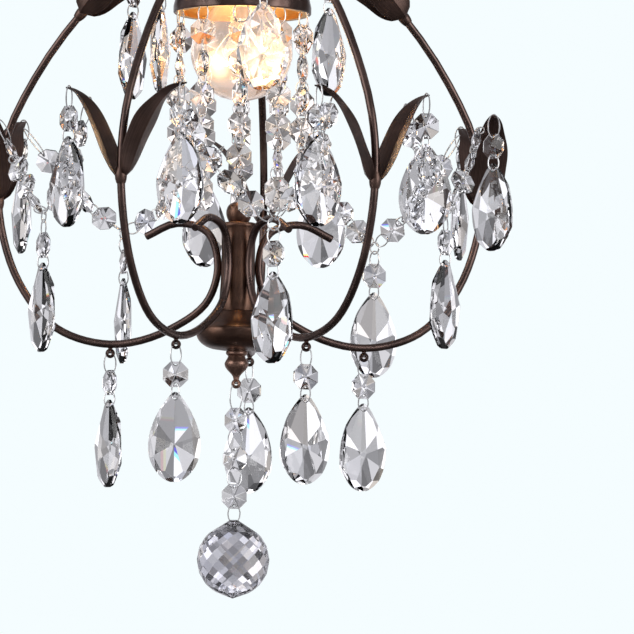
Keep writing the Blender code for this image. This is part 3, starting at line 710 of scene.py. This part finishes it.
# Column: turned pieces screwed end to end, a waisted column with a knob on top, a bowl and a finial below.
# They are finished like the rods, but burnished, so that more of the copper tone shows on the rounds.
BOWL_RADIUS = 23
FINIAL_BALL_HEIGHT = -22.4
COLUMN_PROFILE = (
    [(0, 68.6), (8.2, 68.6)], [(9.6, 68.3), (10.2, 67.2), (10.2, 66.4), (9.7, 65.2)],
    [(9.65, 62), (9.5, 56), (9.4, 46), (9.7, 34), (10.4, 24), (10.6, 21.5)],
    [(10.2, 19)], [(9.4, 19)], [(9.4, 18.2)], [(0, 18.2)],
)
KNOB_PROFILE = (
    [(0, 80.6), (3.4, 80), (6, 78.2), (7.2, 74.8), (6.6, 71), (5.6, 68.9)],
    [(5, 68.9)], [(5, 68.3)], [(0, 68.3)],
)
BOWL_PROFILE = (
    [(0, 18.7), (10.2, 18.7)], [(10.9, 18.2), (12, 16.6), (14.8, 13.7), (18.6, 11), (21.8, 9.2)],
    [(22.8, 8.1), (BOWL_RADIUS, 6.4), (22.2, 3), (19, -0.6), (14, -2.8), (9, -3.5)], [(0, -3.5)],
)
FINIAL_PROFILE = (
    [(0, -3.2), (5, -3.2)], [(5, -3.8)], [(5.6, -3.8)], [(6, -4.4), (5.9, -5.8)], [(4.8, -6.8)],
    [(5.2, -8), (6.7, -10.8), (6.2, -13.2), (3.6, -16.2), (2, -18.2), (1.6, -19.8)],
    [(1.5, -20.6)], [(0, -20.6)],
)

column_bronze = bronze_finish("burnished_bronze", (0.06, 0.032, 0.023), (0.275, 0.145, 0.095), 0.3)
# The finial's lighter bronze is a painted lit copy of the finish, for the light it catches from below and in
# front.
painted_lit_finial_bronze = bronze_finish("painted_lit_bronze", (0.17, 0.1, 0.076), (0.58, 0.34, 0.25), 0.3)
turned("turned_column", COLUMN_PROFILE, column_bronze, "column")
turned("turned_knob", KNOB_PROFILE, column_bronze, "column_knob")
turned("turned_bowl", BOWL_PROFILE, column_bronze, "bowl_cup")
bm = bmesh.new()
spin(bm, FINIAL_PROFILE)
drilled_bead(bm, FINIAL_BALL_HEIGHT * UP, INWARD)
piece("turned_finial", bm, [painted_lit_finial_bronze], stands_for=["finial"])

# Crystals: lead glass, pressed, ground and polished to flat facets, with holes drilled for bent wire rings.
# Stock cuts: 14 mm octagon beads, 50 mm pear drops and one 40 mm ball.
OCTAGON_HALF = 7
OCTAGON_GIRDLE = 0.85
OCTAGON_BELLY = 2.9
OCTAGON_HOLE = 5.1
HOLE_RADIUS = 0.8
HOLE_SIDES = 10
DRILL_LENGTH = 30
DROP_LENGTH = 50
DROP_HALF_WIDTH = 14.5
DROP_TIP = 0.004
DROP_BELLY = 1.35
DROP_FULLNESS = 0.52
DROP_STAR = 29
DROP_STAR_DEPTH = 4.8
DROP_OUTLINE_STEPS = 22
DROP_BLANK_HALF = 8
DROP_HOLE = 4.2
GIRDLE_HALF = 0.6
BEVEL_SLOPE = 0.5
FRONT_STAR = ((0, 0.11), (50, 0.185), (-50, 0.185), (110, 0.23), (-110, 0.23), (180, 0.15))
FRONT_BEVELS = (20, 62, 105, 150, -20, -62, -105, -150)
BACK_STAR = ((25, 0.135), (-25, 0.135), (85, 0.19), (-85, 0.19), (145, 0.175), (-145, 0.175))
BACK_BEVELS = (0, 42, 85, 128, 180, -42, -85, -128)
CUT_DISTANCE = 1e-5
RING_WIRE = 0.42
RING_STEPS = 26
RING_SIDES = 8
RING_HALF = 3.4
PENDANT_OCTAGON = 16.5
PENDANT_DROP = 26
PENDANT_RING_TURN = 50
PENDANT_RING_HALF = 3.0
FACET_SPREAD = (5.3, 3.1, 4.7)
CRYSTAL_ROUGHNESS = 0.01
CRYSTAL_IOR = 1.56
# Painted fire: the warm and blue facet tints stand in for the coloured flashes of dispersion.
CLEAR_PAINTED_FIRE_TINTS = (
    (0.0, (0.97, 0.97, 1.0)), (0.3, (1.0, 0.995, 0.985)), (0.5, (0.975, 0.985, 1.0)),
    (0.8, (1.0, 1.0, 1.0)), (0.87, (1.0, 0.99, 0.98)), (0.91, (1.0, 0.86, 0.68)),
    (0.955, (0.99, 0.98, 1.0)), (0.975, (0.82, 0.86, 1.0)), (1.0, (0.97, 0.97, 1.0)),
)


def crystal_finish(name, tints, roughness, ior):
    """Polished lead glass, with painted fire: a tint that changes from facet to facet for the coloured
    flashes of its dispersion.
    """
    made, shader, point = finish(name)
    facet = point.node("NewGeometry", output=1)
    spread = facet.vector("DOT_PRODUCT", FACET_SPREAD, 1)
    flash = spread.node("Math", {"operation": "FRACT"}, {0: spread})
    feed(shader, {
        "Base Color": flash.node("ValToRGB", {"stops": tints}, {"Fac": flash}),
        "Roughness": roughness * point.noise(90, 2),
        "IOR": ior,
        "Transmission Weight": 1.0,
    })
    return made


clear_crystal = crystal_finish("lead_crystal", CLEAR_PAINTED_FIRE_TINTS, CRYSTAL_ROUGHNESS, CRYSTAL_IOR)
chrome, shader, point = finish("bright_wire")
haze = point.noise(600, 2)
feed(shader, {
    "Base Color": haze.mix((0.84, 0.84, 0.85, 1), (0.95, 0.95, 0.96, 1)),
    "Metallic": 0.6,
    "Roughness": 0.14 + 0.12 * haze,
})


def cut_mesh(name, bm, holes):
    """A crystal's mesh with its holes drilled through from front to back."""
    bmesh.ops.recalc_face_normals(bm, faces=bm.faces)
    blank = mesh_object(name, bm)
    bm = bmesh.new()
    for height in holes:
        place = Matrix.Translation((0, 0, height)) @ Matrix.Rotation(math.pi / 2, 4, "X")
        bmesh.ops.create_cone(
            bm, cap_ends=True, segments=HOLE_SIDES, radius1=HOLE_RADIUS, radius2=HOLE_RADIUS,
            depth=DRILL_LENGTH, matrix=place,
        )
    drill = mesh_object("drill", bm)
    change = blank.modifiers.new("Drill", "BOOLEAN")
    change.operation = "DIFFERENCE"
    change.solver = "EXACT"
    change.object = drill
    bpy.context.view_layer.update()
    drilled = bpy.data.meshes.new_from_object(blank.evaluated_get(bpy.context.evaluated_depsgraph_get()))
    bpy.data.objects.remove(blank)
    bpy.data.objects.remove(drill)
    return drilled


def octagon_mesh():
    """Two low eight-sided pyramids on a thin girdle."""
    bm = bmesh.new()
    corner = OCTAGON_HALF / math.cos(math.pi / 8)
    angles = [math.tau * (k + 0.5) / 8 for k in range(8)]
    edge = [(corner * math.cos(a), corner * math.sin(a)) for a in angles]
    front = [bm.verts.new((x, -OCTAGON_GIRDLE, z)) for x, z in edge]
    back = [bm.verts.new((x, OCTAGON_GIRDLE, z)) for x, z in edge]
    for ring, depth in ((front, -OCTAGON_BELLY), (back, OCTAGON_BELLY)):
        apex = bm.verts.new((0, depth, 0))
        for k in range(8):
            bm.faces.new((apex, ring[k - 1], ring[k]))
    for k in range(8):
        bm.faces.new((front[k - 1], front[k], back[k], back[k - 1]))
    return cut_mesh("octagon", bm, (OCTAGON_HOLE, -OCTAGON_HOLE))


def grind(bm, point, normal):
    """Cuts a blank away beyond a plane and leaves a flat facet."""
    every = bm.verts[:] + bm.edges[:] + bm.faces[:]
    cut = bmesh.ops.bisect_plane(
        bm, geom=every, dist=CUT_DISTANCE, plane_co=point, plane_no=normal, clear_outer=True
    )
    rim = [e for e in cut["geom_cut"] if isinstance(e, bmesh.types.BMEdge)]
    if rim:
        bmesh.ops.edgenet_fill(bm, edges=rim)


def drop_mesh():
    """A pear-shaped blank, ground to a star of wide facets and a row of bevels on each side."""
    bm = bmesh.new()
    right = []
    for k in range(DROP_OUTLINE_STEPS + 1):
        u = DROP_TIP + (1 - DROP_TIP) * (0.5 - 0.5 * math.cos(math.pi * k / DROP_OUTLINE_STEPS))
        swell = max(0.0, math.sin(math.pi * u**DROP_BELLY)) ** DROP_FULLNESS
        right.append(Vector((DROP_HALF_WIDTH * swell, 0, -DROP_LENGTH * u)))
    outline = right[:-1] + [Vector((-p.x, 0, p.z)) for p in reversed(right[:-1])]
    skin(bm, [[p + side * DROP_BLANK_HALF * INWARD for p in outline] for side in (-1, 1)])
    bmesh.ops.recalc_face_normals(bm, faces=bm.faces)
    star = Vector((0, 0, -DROP_STAR))
    for side, sectors, bevels in ((-1, FRONT_STAR, FRONT_BEVELS), (1, BACK_STAR, BACK_BEVELS)):
        for angle, slope in sectors:
            out = Vector((math.sin(math.radians(angle)), 0, math.cos(math.radians(angle))))
            grind(bm, star + side * DROP_STAR_DEPTH * INWARD, side * INWARD + slope * out)
        for angle in bevels:
            out = Vector((math.sin(math.radians(angle)), 0, math.cos(math.radians(angle))))
            edge = max(outline, key=out.dot)
            grind(bm, edge + side * GIRDLE_HALF * INWARD, side * INWARD + BEVEL_SLOPE * out)
    return cut_mesh("drop", bm, (-DROP_HOLE,))


octagon_shape = octagon_mesh()
drop_shape = drop_mesh()


class CrystalString:
    """Crystals and rings of one string, gathered into two pieces that swing with one body."""

    def __init__(self, node, look=clear_crystal):
        self.node = node
        self.look = look
        self.glass = bmesh.new()
        self.wire = bmesh.new()

    def crystal(self, shape, centre, down=-UP, across=RIGHT):
        """Sets a crystal with its length along down and its width towards across."""
        through = (-down).cross(across).normalized()
        across = through.cross(-down).normalized()
        turn = Matrix((across, through, -down)).transposed().to_4x4()
        before = set(self.glass.verts)
        self.glass.from_mesh(shape)
        fresh = [v for v in self.glass.verts if v not in before]
        bmesh.ops.transform(self.glass, matrix=Matrix.Translation(centre) @ turn, verts=fresh)

    def ring(self, top, bottom, across, half_width=RING_HALF):
        """A bent wire ring from one hole to the next, open towards across."""
        middle = (top + bottom) / 2
        half = (bottom - top) / 2
        reach = half.normalized() * (half.length + RING_WIRE)
        level = (across - reach * across.dot(reach) / reach.length_squared).normalized() * half_width
        normal = reach.cross(level).normalized()
        rings = []
        for k in range(RING_STEPS):
            a = math.tau * k / RING_STEPS
            out = math.cos(a) * reach + math.sin(a) * level
            rings.append(circle(middle + out, RING_WIRE, out.normalized(), normal, RING_SIDES))
        skin(self.wire, rings, closed=True)

    def done(self):
        node = self.node
        piece(f"{node}_crystals", self.glass, [self.look], node, [node], smooth=0)
        piece(f"{node}_rings", self.wire, [chrome], node)


def facing(bearing):
    return turn_to(RIGHT, bearing)


def pendant(string, pivot, bearing, first_ring, hook=0.0):
    """Ring, octagon, ring and drop under a pivot."""
    centre = pivot - PENDANT_OCTAGON * UP
    string.ring(pivot + hook * UP, centre + OCTAGON_HOLE * UP, first_ring)
    string.crystal(octagon_shape, centre, across=facing(bearing))
    drop_top = pivot - PENDANT_DROP * UP
    opening = facing(bearing + (-PENDANT_RING_TURN if bearing > 0 else PENDANT_RING_TURN))
    string.ring(centre - OCTAGON_HOLE * UP, drop_top - DROP_HOLE * UP, opening, PENDANT_RING_HALF)
    string.crystal(drop_shape, drop_top, across=facing(bearing))


# Eyelet and leaf pendants: an octagon and a pear drop on two rings, hung in the drilled bead under each arm,
# and on a ring that goes round each leaf near its tip.
EYELET_FACINGS = (4, 23, 28, -20, -60)
EYELET_RING_TURNS = (60, -60, 60, 60, -60)
LOWER_LEAF_FACINGS = ((-50, -30), (32, 0), (-43, 75), (-6, 30), (-70, -110))
UPPER_LEAF_FACINGS = {(1, "left"): 75, (2, "left"): 0, (2, "right"): 53, (5, "right"): 63}
LEAF_HOOK = 1.1

for n, bearing in enumerate(ARM_BEARINGS, 1):
    string = CrystalString(f"eyelet_pendant_{n}")
    pivot = turn_to((0, -ARM_FOOT_RADIUS, EYELET_HEIGHT), bearing)
    pendant(string, pivot, EYELET_FACINGS[n - 1], facing(bearing + EYELET_RING_TURNS[n - 1]))
    string.done()
    for k, side in enumerate(("left", "right")):
        seats = [("leaf", LOWER_LEAF_KNOT, LOWER_LEAF_REACH, LOWER_LEAF_FACINGS[n - 1][k])]
        if (n, side) in UPPER_LEAF_FACINGS:
            seats.append(("upper", UPPER_LEAF_KNOT, UPPER_LEAF_REACH, UPPER_LEAF_FACINGS[n, side]))
        for level, knot, reach, turn in seats:
            hole = leaf_at(LEAF_HOLE, 2 * k - 1, reach)[3]
            pivot = turn_to(arm_knots[knot] + rod_lean(knot) @ hole, bearing)
            string = CrystalString(f"{level}_pendant_{n}_{side}")
            pendant(string, pivot, turn, turn_to(INWARD, bearing), LEAF_HOOK)
            string.done()

# Curtain: ten strands of octagon beads, hung by rings in the lip of the shade, tinted with painted lamplight.
# Sines of the counts turn each bead to its own side, and those beside the lamp turn least.
CURTAIN_COUNT = 10
CURTAIN_RADIUS = 36.4
CURTAIN_BEADS = 6
CURTAIN_PITCH = 17.6
CURTAIN_FIRST = 14
CURTAIN_HOOK = 1.6
CURTAIN_TURNS = (42, 32, 58, 58, 58, 70)
CURTAIN_RING_TURN = 50
CURTAIN_RING_HALF = 3.6
TOP_RING_TURN = 20
TOP_RING_HALF = 4.4
# Painted lamplight: warm facet tints stand in for the lamp's light in the beads, with painted fire among
# them.
PAINTED_LAMPLIGHT_TINTS = (
    (0.0, (1.0, 0.95, 0.91)), (0.3, (1.0, 0.98, 0.945)), (0.5, (1.0, 0.93, 0.875)),
    (0.8, (1.0, 0.985, 0.97)), (0.86, (1.0, 0.945, 0.885)), (0.905, (1.0, 0.78, 0.54)),
    (0.955, (1.0, 0.945, 0.93)), (0.975, (0.88, 0.87, 1.0)), (1.0, (1.0, 0.95, 0.91)),
)

painted_lamplight_crystal = crystal_finish("painted_lamplight_crystal", PAINTED_LAMPLIGHT_TINTS, CRYSTAL_ROUGHNESS, CRYSTAL_IOR)
for i in range(CURTAIN_COUNT):
    bearing = 360 / CURTAIN_COUNT * i
    pivot = turn_to(-CURTAIN_RADIUS * INWARD, bearing) + SHADE_RIM_HEIGHT * UP
    string = CrystalString(f"curtain_strand_{i + 1}", painted_lamplight_crystal)
    last = pivot + CURTAIN_HOOK * UP
    opening = facing(bearing + TOP_RING_TURN * math.sin(2.7 * i))
    half_width = TOP_RING_HALF
    for bead in range(CURTAIN_BEADS):
        turn = bearing + CURTAIN_TURNS[bead] * math.sin(5.1 * i + 2.3 * bead)
        centre = pivot - (CURTAIN_FIRST + CURTAIN_PITCH * bead) * UP
        if bead:
            opening = facing(turn + CURTAIN_RING_TURN * math.sin(3.7 * i + 1.9 * bead))
            half_width = CURTAIN_RING_HALF
        string.ring(last, centre + OCTAGON_HOLE * UP, opening, half_width)
        string.crystal(octagon_shape, centre, across=facing(turn))
        last = centre - OCTAGON_HOLE * UP
    string.done()

# Swags: two legs of four octagon beads, ringed to the edges of the facing leaves of two neighbouring arms.
# A pendant hangs from the ring at the low point, and the beads turn a little on their rings.
SWAG_BEADS_PER_LEG = 4
SWAG_PITCH = 16.4
SWAG_LOW_GAP = 9
SWAG_SAG = 5
SWAG_LEGS = ((89.5, 74.5), (85, 74), (86, 83), (88, 88), (88, 88))
SWAG_FACINGS = (-42, 57, 23, -75, -60)
SWAG_TURN = 0.75
SWAG_LEAF_STATION = 0.68
SWAG_LEAF_EDGE = 0.75
SWAG_LEAF_HOOK = 1.6
SWAG_END_RING_HALF = 2.6
SWAG_RING_HALF = 3.2
SWAG_RING_SLANT = 0.8
SWAG_FIRST_RING = 2.5
LOW_RING_TOP = 2.6
LOW_RING_BOTTOM = -3.4


def leaf_anchor(bearing, side):
    """The place on a lower leaf's edge where a swag's end ring goes round it."""
    centre, half_width = leaf_at(SWAG_LEAF_STATION, side, LOWER_LEAF_REACH)[:2]
    edge = centre + (half_width + SWAG_LEAF_EDGE) * INWARD
    return turn_to(arm_knots[LOWER_LEAF_KNOT] + rod_lean(LOWER_LEAF_KNOT) @ edge, bearing)


for n, bearing in enumerate(ARM_BEARINGS):
    after = (n + 1) % len(ARM_BEARINGS)
    start = leaf_anchor(bearing, 1)
    end = leaf_anchor(ARM_BEARINGS[after], -1)
    chord = end - start
    level = chord.normalized()
    legs = SWAG_LEGS[n]
    reach = (legs[0] ** 2 - legs[1] ** 2 + chord.length**2) / (2 * chord.length)
    low = start + level * reach - UP * math.sqrt(legs[0] ** 2 - reach**2)
    across_swag = level.cross(UP)
    string = CrystalString(f"swag_{n + 1}_{after + 1}")
    ends = ((start, bearing), (end, ARM_BEARINGS[after]))
    for leg, (anchor, leaf_bearing) in enumerate(ends):
        way = (anchor - low) / legs[leg]
        sag = way.cross(across_swag)
        sag *= -SWAG_SAG if sag.z > 0 else SWAG_SAG
        last = low + way * SWAG_FIRST_RING
        for bead in range(SWAG_BEADS_PER_LEG):
            d = SWAG_LOW_GAP + OCTAGON_HALF + SWAG_PITCH * bead
            t = d / legs[leg]
            centre = low + way * d + sag * 4 * t * (1 - t)
            along = (way + sag * 4 * (1 - 2 * t) / legs[leg]).normalized()
            turn = Matrix.Rotation(SWAG_TURN * math.sin(4.3 * n - 1.6 * leg + 2.1 * bead), 3, along)
            wide = turn @ along.cross(across_swag)
            opening = turn @ (wide + SWAG_RING_SLANT * across_swag)
            string.ring(last, centre - along * OCTAGON_HOLE, opening, SWAG_RING_HALF)
            string.crystal(octagon_shape, centre, -along, wide)
            last = centre + along * OCTAGON_HOLE
        hook = anchor - SWAG_LEAF_HOOK * turn_to(INWARD, leaf_bearing)
        string.ring(last, hook, across_swag, SWAG_END_RING_HALF)
    string.ring(low + LOW_RING_TOP * UP, low + LOW_RING_BOTTOM * UP, level, SWAG_RING_HALF)
    pendant(string, low, SWAG_FACINGS[n], level, -LOW_RING_TOP)
    string.done()

# Centre strand: three octagons on long rings under the finial's drilled ball, and the large cut ball below.
# The ball is ground in rows of lozenges round its middle and long facets up to its tip.
CENTRE_BEADS = (20.5, 42.3, 63.3)
CENTRE_FACINGS = (-35, -23, -11)
CENTRE_RING_TURNS = (35, 15, -5)
BALL_RING_TURN = -20
CENTRE_RING_HALF = 4
BALL_RING_HALF = 3.6
BALL_HOOK = 1.2
BALL_TIP = -99
BALL_TIP_RADIUS = 2.2
BALL_HEIGHT = -121.5
BALL_RADIUS = 20.4
BALL_POINT = BALL_HEIGHT - BALL_RADIUS - 1.2
BALL_SEGMENTS = 16
BALL_LOWER_ROWS = 9
BALL_UPPER_ROWS = 5
BALL_ROUGHNESS = 0.15
BALL_IOR = 1.52
# Painted shade and fire: grey tints dim the ball's facets, and warm and blue ones stand in for its coloured
# flashes.
BALL_PAINTED_SHADE_AND_FIRE_TINTS = (
    (0.0, (0.74, 0.74, 0.8)), (0.4, (0.84, 0.84, 0.89)), (0.7, (0.74, 0.74, 0.78)), (0.9, (0.84, 0.84, 0.88)),
    (0.94, (0.9, 0.8, 0.68)), (0.97, (0.72, 0.77, 0.95)), (1.0, (0.74, 0.74, 0.8)),
)

string = CrystalString("centre_strand")
last = FINIAL_BALL_HEIGHT * UP
for bead, turn, ring_turn in zip(CENTRE_BEADS, CENTRE_FACINGS, CENTRE_RING_TURNS):
    centre = (FINIAL_BALL_HEIGHT - bead) * UP
    string.ring(last, centre + OCTAGON_HOLE * UP, facing(ring_turn), CENTRE_RING_HALF)
    string.crystal(octagon_shape, centre, across=facing(turn))
    last = centre - OCTAGON_HOLE * UP
string.ring(last, (BALL_TIP - BALL_HOOK) * UP, facing(BALL_RING_TURN), BALL_RING_HALF)
string.done()


def lozenge_rows(count):
    """(radius, height) of rows on a unit ball from its middle down, spaced so that each lozenge is flat."""
    half_turn = math.pi / BALL_SEGMENTS
    rows = [Vector((1, 0)), Vector((math.cos(half_turn), -math.sin(half_turn)))]
    while len(rows) < count:
        way = Vector((rows[-1].x * math.cos(half_turn), rows[-1].y)) - rows[-2]
        rows.append(rows[-2] - way * 2 * rows[-2].dot(way) / way.length_squared)
    return rows


def ball_row(bm, radius, height, shifted):
    """Corners of one row, turned by half a lozenge on every other row."""
    angles = [math.tau * (k + shifted / 2) / BALL_SEGMENTS for k in range(BALL_SEGMENTS)]
    return [bm.verts.new((radius * math.sin(a), radius * math.cos(a), height)) for a in angles]


lower = lozenge_rows(BALL_LOWER_ROWS)
upper = [Vector((p.x, -p.y)) for p in lower[1:BALL_UPPER_ROWS + 1]]
bm = bmesh.new()
rows = []
for i, p in enumerate([*reversed(upper), *lower]):
    shifted = (i + BALL_UPPER_ROWS) % 2
    rows.append((ball_row(bm, p.x * BALL_RADIUS, p.y * BALL_RADIUS + BALL_HEIGHT, shifted), shifted))
tip = ball_row(bm, BALL_TIP_RADIUS, BALL_TIP, rows[0][1])
point_below = bm.verts.new((0, 0, BALL_POINT))
for k in range(BALL_SEGMENTS):
    after = (k + 1) % BALL_SEGMENTS
    for (a, shifted), (b, _), (c, _) in zip(rows, rows[1:], rows[2:]):
        left, right = (b[k], b[after]) if shifted else (b[k - 1], b[k])
        bm.faces.new((a[k], left, c[k], right))
    for (edge, shifted), (beside, _) in ((rows[0], rows[1]), (rows[-1], rows[-2])):
        bm.faces.new((edge[k], beside[after] if shifted else beside[k], edge[after]))
    top = rows[0][0]
    bottom = rows[-1][0]
    bm.faces.new((tip[k], top[k], top[after], tip[after]))
    bm.faces.new((bottom[k], bottom[after], point_below))
bm.faces.new(tip)
ball_crystal = crystal_finish("ball_crystal", BALL_PAINTED_SHADE_AND_FIRE_TINTS, BALL_ROUGHNESS, BALL_IOR)
piece("ball_crystal", bm, [ball_crystal], "crystal_ball", ["crystal_ball"], smooth=0)

# Studio: a pale floor far below and a room of soft boxes and dark flags round the fixture, in metres.
# To the camera the room is plain pale paper. Glass and metal see its grey backdrop, boxes and flags.
FLOOR_HEIGHT = -3.2
FLOOR_HALF = 4.0
ROOM_CELLS = 8.0
SCREEN_LEVELS = (
    (0.16, 0.4), (0.13, 0.28), (0.17, 0.58), (0.09, 0.17), (0.16, 0.47), (0.16, 0.7), (0.13, 1.1),
)
BOX_LEVELS = ((0.18, 0.04), (0.26, 1.0), (0.2, 0.2), (0.2, 0.5), (0.16, 0.34))
LEVEL_BLEND = 0.004
BOX_IN_GLASS = 1.5
BOX_ON_METAL = 0.6
BACKDROP = 0.36
BACKDROP_IN_CRYSTAL = 0.08
RIGHT_KEY = 3.2
LEFT_KEY = 2.3
FRINGE = 0.0005
FRINGE_SHARE = 0.7
CHANNELS = ((FRINGE, 0.98), (0.0, 0.975), (-FRINGE, 1.03))
PAPER = (0.913, 0.982, 1.0, 1)
GLOW_HEIGHT = FILAMENT_HEIGHT + 4
EYE_LEVEL = -0.482
EYE_SIDE = 0.0449
EYE_BACK = -3.024
EYE_PITCH = math.radians(4.18)
EYE_ROLL = math.radians(0.9)
LENS = 305.8
BOUNCES = 24

floor_paint, shader, point = finish("floor_paint")
feed(shader, {
    "Base Color": point.noise(2).mix((0.82, 0.83, 0.84, 1), (0.86, 0.865, 0.87, 1)),
    "Roughness": 0.7 + 0.1 * point.noise(30),
})
bm = bmesh.new()
at_floor = Matrix.Translation((0, 0, FLOOR_HEIGHT))
bmesh.ops.create_grid(bm, x_segments=4, y_segments=4, size=FLOOR_HALF, matrix=at_floor)
floor = mesh_object("floor", bm)
floor.data.materials.append(floor_paint)
floor.visible_transmission = False
floor.visible_glossy = False

scene = bpy.context.scene
room = bpy.data.worlds.new("room")
scene.world = room
room.use_nodes = True
tree = room.node_tree
way = Signal(tree.nodes.new("ShaderNodeTexCoord").outputs["Generated"])
path = tree.nodes.new("ShaderNodeLightPath")
camera_ray, glossy_ray, transmission_ray = (
    Signal(path.outputs[f"Is {kind} Ray"]) for kind in ("Camera", "Glossy", "Transmission")
)


def toward(aim, inner, outer):
    """1 within the inner angle in degrees of a direction and 0 beyond the outer."""
    along = way.vector("DOT_PRODUCT", Vector(aim).normalized(), 1)
    return along.ramp(math.cos(math.radians(outer)), math.cos(math.radians(inner)))


def steps_of(pick, levels):
    """A grey level for each share of a random value."""
    stops = []
    low = 0.0
    for share, level in levels:
        stops += [(low, (level,) * 3), (low + share - LEVEL_BLEND, (level,) * 3)]
        low += share
    grey = pick.node("ValToRGB", {"stops": stops}, {"Fac": pick})
    return grey.node("SeparateColor", None, {0: grey})


def room_level(shift):
    """The room's boxes, flags and walls in one colour, moved a little for the fringes of lead glass."""
    grid = {"Vector": way.vector("ADD", shift), "Scale": ROOM_CELLS}
    cells = way.node("TexVoronoi", {"distance": "CHEBYCHEV"}, grid, output=1)
    pick, other = (cells.node("SeparateColor", None, {0: cells}, output=k) for k in (0, 1))
    screens = steps_of(pick, SCREEN_LEVELS)
    boxes = steps_of(other, BOX_LEVELS)
    return (screens * near_back + boxes * (1 - near_back) * box_level) * ground


rise = way.node("SeparateXYZ", None, {0: way}, output=2)
tilt = rise.node("Math", {"operation": "ABSOLUTE"}, {0: rise})
ground = rise.ramp(-0.8, -0.2) * 0.8 + 0.2
behind = toward((0, 1, 0.06), 2, 4)
key = toward((0.8, -0.6, 0.22), 11, 26) * RIGHT_KEY + toward((-0.85, -0.5, 0.3), 11, 28) * LEFT_KEY
all_round = tilt.ramp(0.4, 0.25) * (1 - toward((0, 1, 0), 38, 46)) * transmission_ray
near_back = toward((0, 1, 0), 20, 28) + all_round
box_level = BOX_ON_METAL + transmission_ray * (BOX_IN_GLASS - BOX_ON_METAL)
backdrop = behind * (BACKDROP + (glossy_ray + transmission_ray) * BACKDROP_IN_CRYSTAL)
plain = room_level((0, 0, 0))
channels = []
for shift, tint in CHANNELS:
    level = plain
    if shift:
        level = room_level((shift, 0, 0.7 * shift)) * FRINGE_SHARE + plain * (1 - FRINGE_SHARE)
    channels.append((level * (1 - behind) + backdrop) * tint + key)
shade_of_room = way.node("CombineColor", None, dict(enumerate(channels)))
tree.links.new(camera_ray.mix(shade_of_room, PAPER).socket, tree.nodes["Background"].inputs["Color"])

glow = bpy.data.lights.new("lamp_glow", "POINT")
glow.color = (1.0, 0.72, 0.4)
glow.energy = 0.12
glow.shadow_soft_size = 0.012
glow_at = add_object("lamp_glow", glow)
glow_at.visible_transmission = False
glow_at.location = (0, -0.001, (GLOW_HEIGHT - HANG) * MM)

eye = bpy.data.cameras.new("eye")
eye.lens = LENS
eye.sensor_width = 36
eye.clip_end = 100
eye_at = add_object("eye", eye)
eye_at.matrix_world = (
    Matrix.Translation((EYE_SIDE, EYE_BACK, EYE_LEVEL))
    @ Matrix.Rotation(math.pi / 2 + EYE_PITCH, 4, "X")
    @ Matrix.Rotation(EYE_ROLL, 4, "Z")
)
scene.camera = eye_at
scene.view_settings.view_transform = "Standard"
scene.cycles.max_bounces = BOUNCES
scene.cycles.transmission_bounces = BOUNCES
